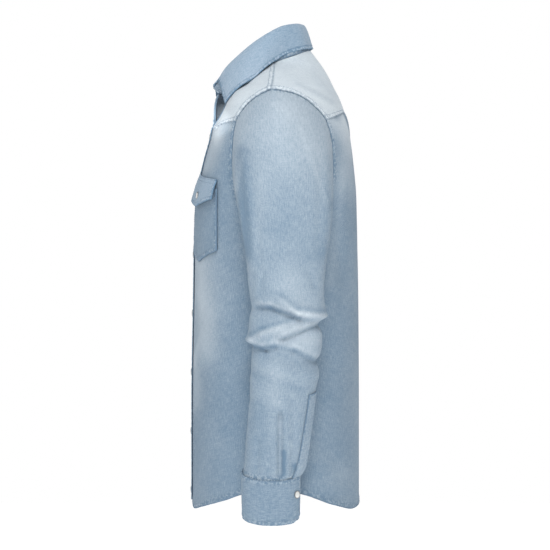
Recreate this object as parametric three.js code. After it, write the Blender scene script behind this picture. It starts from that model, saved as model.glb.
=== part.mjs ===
// A long-sleeved denim shirt in the western cut, filled out as if worn, with nobody in it.
// Millimetres, +Z up, the front faces -Y and the wearer's left is +X. The origin is the middle
// of the neck opening, level with the points where the shoulder seams meet the collar.
import * as THREE from 'three';

// Driving sizes
const CLOTH = 1.4;             // wall of one layer of denim
const FOLDED = 2.0;            // wall of the collar and cuffs, sewn double
const BAND = 1.6;              // wall of the front bands, pockets and flaps
const SEAM = 0.3;              // space left between two sewn pieces
const SAG = 0.4;               // more space over cloth whose flat faces cut its curve
const BAND_WIDTH = 32;         // width of each front band
const HEM_SIDE = -659;         // height of the hem at the side seams
const CUFF_HEIGHT = 66;
const SNAP_TOP = -113;         // height of the first closed snap
const SNAP_STEP = 94;
const SNAP_COUNT = 7;
const SNAP_RADIUS = 5.6;
const AROUND_ARM = 36;         // points round each armhole and sleeve

// Horizontal sections of the body: half width, depth to the front and to the back, and how
// square the front and the back of the section are (2 is an ellipse)
const BODY = [
  { z: 30, half: 54, front: 38, back: 53, squareFront: 1.6, squareBack: 2.0 },
  { z: 24, half: 60, front: 42, back: 57, squareFront: 1.5, squareBack: 2.0 },
  { z: 12, half: 69, front: 49, back: 66, squareFront: 1.4, squareBack: 2.0 },
  { z: 0, half: 77, front: 58, back: 75, squareFront: 1.3, squareBack: 1.9 },
  { z: -20, half: 131, front: 82, back: 87, squareFront: 1.12, squareBack: 1.6 },
  { z: -35, half: 172, front: 92, back: 94, squareFront: 1.15, squareBack: 1.7 },
  { z: -51, half: 213, front: 98, back: 102, squareFront: 1.5, squareBack: 1.9 },
  { z: -70, half: 217, front: 99, back: 109, squareFront: 1.95, squareBack: 2.2 },
  { z: -95, half: 214, front: 99, back: 116, squareFront: 2.3, squareBack: 2.5 },
  { z: -113, half: 210, front: 101, back: 119, squareFront: 2.45, squareBack: 2.7 },
  { z: -134, half: 207, front: 106.5, back: 122, squareFront: 2.5, squareBack: 2.7 },
  { z: -150, half: 204, front: 111, back: 124, squareFront: 2.5, squareBack: 2.7 },
  { z: -214, half: 196, front: 124, back: 130, squareFront: 2.4, squareBack: 2.5 },
  { z: -261, half: 191, front: 126.5, back: 131, squareFront: 2.35, squareBack: 2.4 },
  { z: -374, half: 190, front: 128.5, back: 133, squareFront: 2.3, squareBack: 2.3 },
  { z: -540, half: 196, front: 131, back: 134, squareFront: 2.25, squareBack: 2.25 },
  { z: -720, half: 203, front: 131, back: 134, squareFront: 2.25, squareBack: 2.25 },
];

// The armhole seam seen from the side, once round from the shoulder by way of the front
const ARMHOLE = [
  { turn: 0, y: -5, z: -51 }, { turn: 20, y: -28, z: -62 }, { turn: 40, y: -48, z: -80 },
  { turn: 60, y: -59.5, z: -99 }, { turn: 80, y: -64, z: -128 }, { turn: 100, y: -65.5, z: -162 },
  { turn: 120, y: -61, z: -197 }, { turn: 140, y: -50, z: -229 }, { turn: 160, y: -28, z: -252 },
  { turn: 180, y: 5, z: -261 }, { turn: 200, y: 37, z: -255 }, { turn: 220, y: 64, z: -237 },
  { turn: 240, y: 82, z: -210 }, { turn: 260, y: 89, z: -178 }, { turn: 280, y: 88, z: -140 },
  { turn: 300, y: 78, z: -97 }, { turn: 320, y: 61, z: -77 }, { turn: 340, y: 33, z: -59 },
  { turn: 360, y: -5, z: -51 },
];
const FRONT_YOKE_TURN = 60;    // where the front yoke seam meets the armhole
const BACK_YOKE_TURN = 300;    // where the back yoke seam meets it
const ARMPIT_TURN = 180;

// Sections of a sleeve below the armpit: front, back, inner and outer edge, and how much
// lower the outer edge hangs than the inner one for each millimetre across
const SLEEVE = [
  { z: -290, front: -48, back: 81, inner: 195, outer: 279, tilt: 0 },
  { z: -325, front: -43.5, back: 76, inner: 196, outer: 281, tilt: 0.02 },
  { z: -362, front: -39.5, back: 73.5, inner: 198, outer: 281, tilt: 0.05 },
  { z: -386, front: -37.5, back: 75.5, inner: 199, outer: 280, tilt: 0.07 },
  { z: -405, front: -39, back: 71.5, inner: 200, outer: 280, tilt: 0.09 },
  { z: -432, front: -40.5, back: 71, inner: 201, outer: 279, tilt: 0.12 },
  { z: -458, front: -35.5, back: 68, inner: 203, outer: 278, tilt: 0.15 },
  { z: -486, front: -37.5, back: 64, inner: 205, outer: 277, tilt: 0.18 },
  { z: -532, front: -40, back: 59, inner: 206, outer: 276, tilt: 0.24 },
  { z: -590, front: -44, back: 52.5, inner: 207, outer: 275, tilt: 0.3 },
  { z: -618, front: -46, back: 48, inner: 208, outer: 274, tilt: 0.33 },
  { z: -633, front: -48.5, back: 39, inner: 208, outer: 273, tilt: 0.33 },
];
const SLEEVE_TOP = -290;
const SLEEVE_END = -632;
const CAP_STEPS = 5;
const SLEEVE_ROWS = [-320, -350, -372, -386, -398, -410, -422, -434, -446, -460, -480,
  -520, -575, SLEEVE_END];
const CUFF = { front: -50.5, back: 38, inner: 207, outer: 274, tilt: 0.33 };

// Largest creases of a sleeve, seen from the side: ends, depth inwards (a ridge is negative)
// and half width
const SLEEVE_FOLDS = [
  { y0: -30, z0: -383, y1: 40, z1: -399, depth: 7, width: 8 },
  { y0: 5, z0: -371, y1: 78, z1: -398, depth: -4, width: 8 },
  { y0: -42, z0: -433, y1: 40, z1: -402, depth: -4, width: 9 },
  { y0: 10, z0: -428, y1: 74, z1: -409, depth: 6, width: 8 },
  { y0: -40, z0: -441, y1: 68, z1: -464, depth: 6, width: 8 },
  { y0: -20, z0: -460, y1: 60, z1: -485, depth: -3, width: 10 },
  { y0: 8, z0: -640, y1: 8, z1: -540, depth: 5, width: 6 },
];
// Soft creases of the body, in degrees round it from the centre front and height
const BODY_FOLDS = [
  { a0: 22, z0: -400, a1: 62, z1: -440, depth: 3, width: 28 },
  { a0: 34, z0: -520, a1: 78, z1: -560, depth: 3, width: 30 },
  { a0: 118, z0: -215, a1: 128, z1: -330, depth: 5, width: 20 },
  { a0: 140, z0: -330, a1: 110, z1: -460, depth: 4, width: 24 },
  { a0: 150, z0: -520, a1: 120, z1: -600, depth: 3, width: 26 },
];

const smooth = (t) => t * t * (3 - 2 * t);
const clamp01 = (t) => Math.min(1, Math.max(0, t));
const mix = (a, b, t) => a + (b - a) * t;
const rad = (degrees) => degrees * Math.PI / 180;
const deg = (radians) => radians * 180 / Math.PI;

// A smooth curve through one column of a table, which never overshoots its rows
function column(rows, key, name) {
  const sorted = [...rows].sort((p, q) => p[key] - q[key]);
  const x = sorted.map((row) => row[key]);
  const y = sorted.map((row) => row[name]);
  const last = x.length - 1;
  const slope = x.slice(1).map((value, i) => (y[i + 1] - y[i]) / (value - x[i]));
  const tangent = x.map((_, i) => {
    if (i === 0) return slope[0];
    if (i === last) return slope[last - 1];
    if (slope[i - 1] * slope[i] <= 0) return 0;
    return 2 * slope[i - 1] * slope[i] / (slope[i - 1] + slope[i]);
  });
  return (at) => {
    const value = Math.min(x[last], Math.max(x[0], at));
    let i = 0;
    while (i < last - 1 && value > x[i + 1]) i += 1;
    const h = x[i + 1] - x[i];
    const t = (value - x[i]) / h;
    const keep = (1 + 2 * t) * (1 - t) * (1 - t);
    const next = t * t * (3 - 2 * t);
    const leave = t * (1 - t) * (1 - t);
    const arrive = t * t * (t - 1);
    return keep * y[i] + next * y[i + 1] + h * (leave * tangent[i] + arrive * tangent[i + 1]);
  };
}

const body = Object.fromEntries(
  ['half', 'front', 'back', 'squareFront', 'squareBack'].map((name) => [name, column(BODY, 'z', name)]));
const armholeY = column(ARMHOLE, 'turn', 'y');
const armholeZ = column(ARMHOLE, 'turn', 'z');

// Depth of a table of creases at a place, with across the scale of the first coordinate
function creaseDepth(folds, first, z, firstName, across) {
  let depth = 0;
  for (const fold of folds) {
    const p0 = fold[firstName + '0'] * across;
    const dx = fold[firstName + '1'] * across - p0;
    const dz = fold.z1 - fold.z0;
    const t = clamp01(((first * across - p0) * dx + (z - fold.z0) * dz) / (dx * dx + dz * dz));
    const away = Math.hypot(first * across - p0 - t * dx, z - fold.z0 - t * dz);
    depth += fold.depth * Math.exp(-((away / fold.width) ** 2));
  }
  return depth;
}

// The open neck: the left front falls back from the wearer's chest above the first snap
const OPENING = [
  { z: -113, pull: 0, left: -15, right: 14 }, { z: -104, pull: 0, left: -6, right: -13 },
  { z: -95, pull: 6, left: 4, right: -14 }, { z: -80, pull: 17, left: 18, right: -15 },
  { z: -70, pull: 22, left: 25, right: -17 }, { z: -58, pull: 24, left: 31, right: -19 },
  { z: -46, pull: 18, left: 36, right: -20 }, { z: -30, pull: 6, left: 40, right: -20 },
  { z: 0, pull: 0, left: 40, right: -20 },
];
const openPull = column(OPENING, 'z', 'pull');
const leftEdge = column(OPENING, 'z', 'left');
const rightEdge = column(OPENING, 'z', 'right');
const PULL_REACH = 190;

// Distance from the axis to the body's cloth at an angle from the centre front
function bodyRadius(angle, z) {
  const s = Math.abs(Math.sin(rad(angle)));
  const c = Math.cos(rad(angle));
  const depth = c > 0 ? body.front(z) : body.back(z);
  const n = c > 0 ? body.squareFront(z) : body.squareBack(z);
  return 1 / ((s / body.half(z)) ** n + (Math.abs(c) / depth) ** n) ** (1 / n);
}

// A point of the body's outer face, on the wearer's left for side 1 and right for side -1
function onBody(side, angle, z) {
  const crease = creaseDepth(BODY_FOLDS, angle, z + (side < 0 ? 14 : 0), 'a', 2.6);
  const seamFree = smooth(clamp01((Math.abs(angle - 90) - 4) / 14)) * smooth(clamp01((angle - 9) / 10));
  const centreFree = smooth(clamp01((180 - angle) / 12));
  const r = bodyRadius(angle, z) - crease * seamFree * centreFree * smooth(clamp01((-140 - z) / 60));
  const point = new THREE.Vector3(side * r * Math.sin(rad(angle)), -r * Math.cos(rad(angle)), z);
  if (side > 0 && angle < 90 && z > SNAP_TOP) {
    const near = 1 - smooth(clamp01(point.x / PULL_REACH));
    point.y += openPull(z) * near * smooth(clamp01((88 - angle) / 30));
  }
  return point;
}

// The face's outward direction at a place of the body
function bodyNormal(side, angle, z) {
  const da = 0.25;
  const dz = 0.5;
  const across = onBody(side, angle + da, z).sub(onBody(side, Math.max(0.01, angle - da), z));
  const up = onBody(side, angle, z + dz).sub(onBody(side, angle, z - dz));
  const normal = across.cross(up).normalize();
  return side > 0 ? normal : normal.negate();
}

// Angle of the body's cloth at a distance to the side of the centre front, or behind it
function angleAtX(x, z) {
  let low = 0.02;
  let high = 90;
  for (let i = 0; i < 40; i += 1) {
    const middle = (low + high) / 2;
    if (bodyRadius(middle, z) * Math.sin(rad(middle)) < x) low = middle;
    else high = middle;
  }
  return low;
}
function angleAtY(y, z) {
  const depth = y < 0 ? body.front(z) : body.back(z);
  const n = y < 0 ? body.squareFront(z) : body.squareBack(z);
  const x = body.half(z) * (1 - (Math.abs(y) / depth) ** n) ** (1 / n);
  return deg(Math.atan2(x, -y));
}

// A closed wall between an outer grid of points and the same grid moved inwards
function wallFromGrids(outer, inner, closed) {
  const rows = outer.length;
  const across = outer[0].length;
  const points = [...outer.flat(), ...inner.flat()];
  const at = (layer, i, j) => layer * rows * across + i * across + (j % across);
  const faces = [];
  const quad = (a, b, c, d) => faces.push([a, b, c], [a, c, d]);
  const lastColumn = closed ? across : across - 1;
  for (let i = 0; i < rows - 1; i += 1) {
    for (let j = 0; j < lastColumn; j += 1) {
      quad(at(0, i, j + 1), at(0, i + 1, j + 1), at(0, i + 1, j), at(0, i, j));
      quad(at(1, i + 1, j), at(1, i + 1, j + 1), at(1, i, j + 1), at(1, i, j));
    }
    if (!closed) {
      quad(at(0, i, 0), at(0, i + 1, 0), at(1, i + 1, 0), at(1, i, 0));
      quad(at(0, i, across - 1), at(1, i, across - 1), at(1, i + 1, across - 1), at(0, i + 1, across - 1));
    }
  }
  for (let j = 0; j < lastColumn; j += 1) {
    quad(at(0, 0, j), at(1, 0, j), at(1, 0, j + 1), at(0, 0, j + 1));
    quad(at(0, rows - 1, j), at(0, rows - 1, j + 1), at(1, rows - 1, j + 1), at(1, rows - 1, j));
  }
  return solid(points, faces);
}

// A geometry from points and triangles, turned so that its faces point outwards
function solid(points, faces) {
  let volume = 0;
  for (const [a, b, c] of faces) {
    volume += points[a].dot(new THREE.Vector3().crossVectors(points[b], points[c]));
  }
  const index = faces.flatMap(([a, b, c]) => (volume < 0 ? [a, c, b] : [a, b, c]));
  const geometry = new THREE.BufferGeometry();
  geometry.setAttribute('position', new THREE.Float32BufferAttribute(points.flatMap((p) => p.toArray()), 3));
  geometry.setIndex(index);
  geometry.computeVertexNormals();
  return geometry;
}

const DENIM = { color: 0x93adc0, roughness: 0.92, metalness: 0 };
const PEARL = { color: 0xe4e6e2, roughness: 0.25, metalness: 0 };
const shirt = new THREE.Group();
shirt.name = 'denim_shirt';
function add(name, geometry, look = DENIM) {
  const mesh = new THREE.Mesh(geometry, new THREE.MeshStandardMaterial({ ...look, side: THREE.DoubleSide }));
  mesh.name = name;
  shirt.add(mesh);
  return mesh;
}

// A patch of the body between four edges, each a list of { a, z } places
function patch(bottom, top, left, right) {
  const rows = left.length - 1;
  const across = bottom.length - 1;
  const grid = [];
  for (let i = 0; i <= rows; i += 1) {
    const v = i / rows;
    grid.push([]);
    for (let j = 0; j <= across; j += 1) {
      const u = j / across;
      const blend = (key) => mix(bottom[j][key], top[j][key], v) + mix(left[i][key], right[i][key], u)
        - mix(mix(bottom[0][key], bottom[across][key], u), mix(top[0][key], top[across][key], u), v);
      grid[i].push({ a: blend('a'), z: blend('z') });
    }
  }
  return grid;
}

// Moves the rim of a patch inwards by half a seam, so that neighbours stay apart
function drawIn(grid, side, edges) {
  const place = (p) => onBody(side, p.a, p.z);
  const pull = (p, q) => {
    const share = Math.min(0.4, SEAM / 2 / place(p).distanceTo(place(q)));
    return { a: mix(p.a, q.a, share), z: mix(p.z, q.z, share) };
  };
  const rows = grid.length - 1;
  const across = grid[0].length - 1;
  const result = grid.map((row) => [...row]);
  if (edges.includes('left')) {
    for (let i = 0; i <= rows; i += 1) result[i][0] = pull(result[i][0], result[i][1]);
  }
  if (edges.includes('right')) {
    for (let i = 0; i <= rows; i += 1) result[i][across] = pull(result[i][across], result[i][across - 1]);
  }
  if (edges.includes('bottom')) {
    for (let j = 0; j <= across; j += 1) result[0][j] = pull(result[0][j], result[1][j]);
  }
  if (edges.includes('top')) {
    for (let j = 0; j <= across; j += 1) result[rows][j] = pull(result[rows][j], result[rows - 1][j]);
  }
  return result;
}

// The wall of a patch, its outer face lifted off the body's cloth by a height
function bodyWall(grid, side, thickness, lift = 0) {
  const layer = (height) => grid.map((row) => row.map(
    (p) => onBody(side, p.a, p.z).addScaledVector(bodyNormal(side, p.a, p.z), height)));
  return wallFromGrids(layer(lift), layer(lift - thickness), false);
}

// Edges of the cut pieces, as places on the body
const HEM = [
  { a: 0, z: -691 }, { a: 12, z: -697 }, { a: 26, z: -701 }, { a: 45, z: -694 }, { a: 65, z: -680 },
  { a: 77, z: -667 }, { a: 90, z: HEM_SIDE }, { a: 103, z: -669 }, { a: 119, z: -687 },
  { a: 140, z: -698 }, { a: 180, z: -692 },
];
const NECKLINE = [
  { a: 0, z: -43 }, { a: 24, z: -43.5 }, { a: 36, z: -40 }, { a: 48, z: -34 }, { a: 68, z: -17 },
  { a: 80, z: -7 }, { a: 90, z: 0 }, { a: 110, z: 9 }, { a: 135, z: 18 }, { a: 155, z: 22.5 },
  { a: 180, z: 24 },
];
const YOKE_END = { a: 73, z: -99 };     // where the front yoke's seam meets the armhole
const FRONT_YOKE = [
  { a: 0, z: -93 }, { a: 22, z: -95 }, { a: 46, z: -106 }, { a: 56, z: -102 }, YOKE_END,
];
const BACK_YOKE = [
  { a: 113, z: -97 }, { a: 128, z: -86 }, { a: 145, z: -80 }, { a: 160, z: -90 }, { a: 180, z: -112 },
];
const hemAt = column(HEM, 'a', 'z');
const neckAt = column(NECKLINE, 'a', 'z');
const frontYokeAt = column(FRONT_YOKE, 'a', 'z');
const backYokeAt = column(BACK_YOKE, 'a', 'z');

const armholePlace = (turn) => ({ a: angleAtY(armholeY(turn), armholeZ(turn)), z: armholeZ(turn) });
const FRONT_COLUMNS = 8;
const NECK_COLUMNS = 5;
const BACK_COLUMNS = FRONT_COLUMNS + NECK_COLUMNS;
const SIDE_ROWS = 7;
const TURN = 360 / AROUND_ARM;
const steps = (from, to, count) => Array.from({ length: count + 1 }, (_, i) => mix(from, to, i / count));

// Height rows that every body panel shares: up the side seam, then up the armhole
const frontTurns = steps(ARMPIT_TURN, FRONT_YOKE_TURN, (ARMPIT_TURN - FRONT_YOKE_TURN) / TURN);
const backTurns = steps(ARMPIT_TURN, BACK_YOKE_TURN, (BACK_YOKE_TURN - ARMPIT_TURN) / TURN);
const armpit = armholePlace(ARMPIT_TURN);
const sideSeam = steps(0, 1, SIDE_ROWS).map((t) => (
  { a: mix(90, armpit.a, t), z: mix(HEM_SIDE, armpit.z, t) }));

// The edge of the cloth under a front band, a little past the centre front
const UNDER_BAND = 17;
function frontEdge(side, z) {
  const besideBand = smooth(clamp01((z - SNAP_TOP + 14) / 14));
  const under = mix(UNDER_BAND, BAND_WIDTH + 3 * SEAM, besideBand);
  const x = side > 0 ? leftEdge(z) + under : Math.max(2, 3 - rightEdge(z));
  return { a: angleAtX(x, z), z };
}

// The seam between a front and its yoke, from the band to the armhole
function frontYokeSeam(side, end) {
  const start = frontEdge(side, frontYokeAt(20));
  return steps(start.a, end.a, FRONT_COLUMNS).map((a) => (
    { a, z: frontYokeAt(a) + (end.z - YOKE_END.z) * clamp01(a / YOKE_END.a) }));
}

function frontPanel(side) {
  const right = [...sideSeam, ...frontTurns.slice(1).map(armholePlace)];
  const upper = frontYokeSeam(side, right[right.length - 1]);
  const seamStart = frontYokeAt(upper[0].a);
  const lower = steps(frontEdge(side, -700).a, 90, FRONT_COLUMNS).map((a) => ({ a, z: hemAt(a) }));
  const left = right.map((p, i) => {
    const z = i <= SIDE_ROWS ? mix(lower[0].z, armpit.z, i / SIDE_ROWS)
      : mix(armpit.z, seamStart, (i - SIDE_ROWS) / (right.length - 1 - SIDE_ROWS));
    return { a: frontEdge(side, z).a, z };
  });
  return patch(lower, upper, left, right);
}

function frontYoke(side) {
  const right = steps(FRONT_YOKE_TURN, 0, FRONT_YOKE_TURN / TURN).map(armholePlace);
  const lower = frontYokeSeam(side, right[0]);
  const end = right[right.length - 1];
  const upper = steps(0, 1, FRONT_COLUMNS).map((t) => ({ a: mix(90, end.a, t), z: mix(0, end.z, t) }));
  let corner = frontEdge(side, neckAt(0));
  for (let i = 0; i < 6; i += 1) corner = frontEdge(side, neckAt(corner.a));
  const left = right.map((_, i) => {
    if (i < 2) {
      const z = mix(lower[0].z, neckAt(corner.a), i / 2);
      return { a: frontEdge(side, z).a, z };
    }
    const a = mix(corner.a, 90, (i - 2) / (right.length - 3));
    return { a, z: neckAt(a) };
  });
  return patch(lower, upper, left, right);
}

function backPanel() {
  const right = [...sideSeam, ...backTurns.slice(1).map(armholePlace)];
  const top = right[right.length - 1];
  const upper = steps(top.a, 180, BACK_COLUMNS).map((a) => ({ a, z: backYokeAt(a) }));
  upper[0] = top;
  const lower = steps(90, 180, BACK_COLUMNS).map((a) => ({ a, z: hemAt(a) }));
  const middle = right.map((p, i) => ({
    a: 180,
    z: i <= SIDE_ROWS ? mix(hemAt(180), armpit.z, i / SIDE_ROWS)
      : mix(armpit.z, backYokeAt(180), (i - SIDE_ROWS) / (right.length - 1 - SIDE_ROWS)),
  }));
  return patch(lower, upper, right, middle);
}

function backYoke() {
  const right = steps(BACK_YOKE_TURN, 360, (360 - BACK_YOKE_TURN) / TURN).map(armholePlace);
  const end = right[right.length - 1];
  const lower = steps(right[0].a, 180, BACK_COLUMNS).map((a) => ({ a, z: backYokeAt(a) }));
  lower[0] = right[0];
  const count = right.length - 1;
  const shoulder = steps(0, 1, FRONT_COLUMNS).map((t) => ({ a: mix(end.a, 90, t), z: mix(end.z, 0, t) }));
  const neck = steps(90, 180, NECK_COLUMNS).map((a) => ({ a, z: neckAt(a) }));
  const upper = [...shoulder, ...neck.slice(1)];
  const middle = right.map((_, i) => ({ a: 180, z: mix(backYokeAt(180), neckAt(180), i / count) }));
  return patch(lower, upper, right, middle);
}

// Both halves of a back piece, joined at the centre back, as one wall
function wholeBack(grid, thickness) {
  const beforeCentre = grid.map((row) => row.slice(0, -1));
  const layer = (height) => grid.map((row, i) => {
    const place = (side, p) => onBody(side, p.a, p.z).addScaledVector(bodyNormal(side, p.a, p.z), height);
    const left = row.map((p) => place(1, p));
    const right = beforeCentre[i].map((p) => place(-1, p)).reverse();
    return [...left, ...right];
  });
  return wallFromGrids(layer(0), layer(-thickness), false);
}

for (const side of [1, -1]) {
  const hand = side > 0 ? 'left' : 'right';
  add(`${hand}_front`, bodyWall(drawIn(frontPanel(side), side, ['right', 'top']), side, CLOTH));
  const yoke = drawIn(frontYoke(side), side, ['right', 'top', 'bottom', 'left']);
  add(`${hand}_front_yoke`, bodyWall(yoke, side, CLOTH));
}
add('back', wholeBack(drawIn(backPanel(), 1, ['left', 'top']), CLOTH));
add('back_yoke', wholeBack(drawIn(backYoke(), 1, ['left', 'top', 'bottom']), CLOTH));

// A grid's outward directions. The first ring may take those of the piece that it is sewn to
function gridNormals(grid, closed, outwards, firstRing) {
  const rows = grid.length;
  const across = grid[0].length;
  return grid.map((row, i) => row.map((_, j) => {
    if (i === 0 && firstRing) return firstRing[j];
    const before = closed ? (j + across - 1) % across : Math.max(0, j - 1);
    const after = closed ? (j + 1) % across : Math.min(across - 1, j + 1);
    const alongRow = row[after].clone().sub(row[before]);
    const alongColumn = grid[Math.min(rows - 1, i + 1)][j].clone().sub(grid[Math.max(0, i - 1)][j]);
    return alongRow.cross(alongColumn).normalize().multiplyScalar(outwards);
  }));
}

// A wall between a grid of outer points and the same grid moved inwards
function gridWall(grid, thickness, { closed = false, outwards = 1, firstRing = null } = {}) {
  const normals = gridNormals(grid, closed, outwards, firstRing);
  const inner = grid.map((row, i) => row.map((p, j) => p.clone().addScaledVector(normals[i][j], -thickness)));
  return wallFromGrids(grid, inner, closed);
}

// Sleeves
const arm = Object.fromEntries(
  ['front', 'back', 'inner', 'outer', 'tilt'].map((name) => [name, column(SLEEVE, 'z', name)]));

// A point of a tube's section; turn 0 is the outer side, 90 the front and 180 the side by the body
function onSection(section, side, turn, z, grow = 0) {
  const c = Math.cos(rad(turn));
  const s = Math.sin(rad(turn));
  const across = (section.outer - section.inner) / 2 + grow;
  const deep = (section.back - section.front) / 2 + grow;
  const x = (section.outer + section.inner) / 2 + across * c;
  const y = (section.back + section.front) / 2 - deep * s;
  return new THREE.Vector3(side * x, y, z - section.tilt * across * c);
}
const armSection = (z) => Object.fromEntries(Object.entries(arm).map(([name, curve]) => [name, curve(z)]));

function onSleeve(side, turn, z) {
  const section = armSection(z);
  const outerSide = smooth(clamp01(0.75 + 0.9 * Math.cos(rad(turn))));
  const point = onSection(section, side, turn, z);
  const depth = creaseDepth(SLEEVE_FOLDS, point.y, z - (side < 0 ? 9 : 0), 'y', 1);
  const nearCuff = smooth(clamp01((z - SLEEVE_END) / 14));
  return onSection(section, side, turn, z, -depth * nearCuff * (0.35 + 0.65 * outerSide));
}

const turns = steps(0, 360, AROUND_ARM).slice(0, -1).map((turn) => (turn + ARMPIT_TURN) % 360);
function armholePoint(side, turn) {
  const place = armholePlace(turn);
  return { point: onBody(side, place.a, place.z), normal: bodyNormal(side, place.a, place.z) };
}

// The cap: from the armhole seam outwards and down to the first full section
function capPoint(side, turn, t) {
  const start = armholePoint(side, turn);
  const end = onSleeve(side, turn, SLEEVE_TOP);
  const below = onSleeve(side, turn, SLEEVE_TOP - 12);
  const outer = 0.5 + 0.5 * Math.cos(rad(turn));
  const leave = new THREE.Vector3(side * mix(0.35, 0.88, outer), 0, mix(-0.95, -0.5, outer)).normalize();
  const arrive = below.sub(end).normalize();
  const reach = start.point.distanceTo(end);
  const from = start.point.clone().addScaledVector(leave, SEAM / 2);
  const fullness = 1.1 * reach;
  return from.multiplyScalar((1 + 2 * t) * (1 - t) ** 2).addScaledVector(end, t * t * (3 - 2 * t))
    .addScaledVector(leave, t * (1 - t) ** 2 * fullness).addScaledVector(arrive, t * t * (t - 1) * fullness);
}

function sleeveGrid(side) {
  const cap = steps(0, 1, CAP_STEPS).map((t) => turns.map((turn) => capPoint(side, turn, t)));
  const below = SLEEVE_ROWS.map((z) => turns.map((turn) => onSleeve(side, turn, z)));
  return [...cap, ...below];
}

for (const side of [1, -1]) {
  const hand = side > 0 ? 'left' : 'right';
  const firstRing = turns.map((turn) => armholePoint(side, turn).normal);
  const outwards = side > 0 ? 1 : -1;
  add(`${hand}_sleeve`, gridWall(sleeveGrid(side), CLOTH, { closed: true, outwards, firstRing }));
}

// Cuffs, each one strip that laps over itself at the back of the wrist
const CUFF_START = 292;
const CUFF_LAP = 20;
const CUFF_STEPS = 36;
const CUFF_ROWS = 3;
const CUFF_GAP = 0.9;          // measured along the slanted end of the sleeve
function onCuff(side, turn, drop) {
  const fromStart = turn - CUFF_START;
  const lift = (FOLDED + 0.6) * (1 - smooth(clamp01(fromStart / 70)));
  return onSection(CUFF, side, turn, SLEEVE_END - CUFF_GAP - drop, lift);
}
for (const side of [1, -1]) {
  const hand = side > 0 ? 'left' : 'right';
  const around = steps(CUFF_START, CUFF_START + 360 + CUFF_LAP, CUFF_STEPS);
  const grid = steps(0, CUFF_HEIGHT, CUFF_ROWS).map((drop) => around.map((turn) => onCuff(side, turn, drop)));
  add(`${hand}_cuff`, gridWall(grid, FOLDED, { outwards: side > 0 ? 1 : -1 }));
}

// The band round the opening of each sleeve, lying on its back
const SLIT = { top: -508, bottom: -629, from: 277, to: 309 };
for (const side of [1, -1]) {
  const hand = side > 0 ? 'left' : 'right';
  const rows = steps(SLIT.bottom, SLIT.top, 10);
  const strip = rows.map((z) => steps(SLIT.from, SLIT.to, 4).map((turn) => onSleeve(side, turn, z)));
  const normals = gridNormals(strip, false, side > 0 ? -1 : 1, null);
  const above = SEAM + 2 * SAG + CLOTH;
  const lifted = strip.map((row, i) => row.map((p, j) => p.clone().addScaledVector(normals[i][j], above)));
  add(`${hand}_sleeve_placket`, gridWall(lifted, CLOTH, { outwards: side > 0 ? -1 : 1 }));
}

// Front bands: the outer one on the left front, the under one on the right
function onFront(side, x, z) {
  const angle = angleAtX(Math.abs(x), z);
  const point = onBody(-1, angle, z);
  point.x = Math.sign(x) * Math.abs(point.x);
  if (side > 0 && z > SNAP_TOP) point.y += openPull(z) * (1 - smooth(clamp01(x / PULL_REACH)));
  return point;
}
const BAND_DROP = 1.8;         // from the neck seam down to the top of a band
function band(side, lift) {
  const heights = [...frontPanel(side), ...frontYoke(side).slice(1, 3)].map((row) => row[0].z);
  const grid = heights.map((z) => {
    const free = side > 0 ? leftEdge(z) : rightEdge(z);
    const sewn = side > 0 ? free + BAND_WIDTH : (free - 14) * 0.6 - BAND_WIDTH / 2;
    const top = z === heights[heights.length - 1];
    return steps(Math.min(free, sewn), Math.max(free, sewn), 4).map((x) => {
      const neck = neckAt(angleAtX(Math.abs(x), z)) - BAND_DROP;
      return onFront(side, x, top ? Math.min(z, neck) : z);
    });
  });
  const normals = gridNormals(grid, false, 1, null);
  const lifted = grid.map((row, i) => row.map((p, j) => p.clone().addScaledVector(normals[i][j], lift)));
  return gridWall(lifted, BAND);
}
add('left_placket', band(1, SEAM + SAG + BAND));
add('right_placket', band(-1, -CLOTH - SEAM - SAG));

// Chest pockets with pointed flaps
const POCKET = { inner: 38, outerY: -88, corner: -297, point: -313, mouth: -201, columns: 8, rows: 5 };
const FLAP = { topInner: -174, topOuter: -187, corner: -217, point: -227, proud: 4.5, rows: 3 };
// Height of each row of a flap over the front: sewn down at the top, then over the pocket
const OVER_POCKET = 2 * (SEAM + SAG + BAND);
const FLAP_LIFT = [OVER_POCKET + FLAP.proud, OVER_POCKET + FLAP.proud / 2, OVER_POCKET, SEAM + SAG + BAND];
function pocketGrid(side, columns, rows, topAt, bottomAt) {
  return steps(0, 1, rows).map((v) => steps(0, 1, columns).map((u) => {
    const z = mix(bottomAt(u), topAt(u), v);
    return { a: mix(angleAtX(POCKET.inner, z), angleAtY(POCKET.outerY, z), u), z };
  }));
}
const pointed = (corner, point) => (u) => mix(point, corner, Math.abs(2 * u - 1));
for (const side of [1, -1]) {
  const hand = side > 0 ? 'left' : 'right';
  const pocket = pocketGrid(side, POCKET.columns, POCKET.rows, () => POCKET.mouth,
    pointed(POCKET.corner, POCKET.point));
  add(`${hand}_pocket`, bodyWall(pocket, side, BAND, SEAM + SAG + BAND));
  const flap = pocketGrid(side, POCKET.columns, FLAP.rows, (u) => mix(FLAP.topInner, FLAP.topOuter, u),
    pointed(FLAP.corner, FLAP.point));
  const layer = (inwards) => flap.map((row, i) => row.map((p) => onBody(side, p.a, p.z)
    .addScaledVector(bodyNormal(side, p.a, p.z), FLAP_LIFT[i] - inwards)));
  add(`${hand}_pocket_flap`, wallFromGrids(layer(0), layer(BAND), false));
}

// Snaps: a domed pearl cap, its back on the cloth
function snap(name, point, normal) {
  const r = SNAP_RADIUS;
  const profile = [[0, 0], [r, 0], [r, 1.3], [r * 0.8, 2.3], [0, 2.8]]
    .map(([x, y]) => new THREE.Vector2(x, y));
  const mesh = add(name, new THREE.LatheGeometry(profile, 12), PEARL);
  mesh.position.copy(point).addScaledVector(normal, 2 * SEAM);
  mesh.quaternion.setFromUnitVectors(new THREE.Vector3(0, 1, 0), normal);
}

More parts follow.
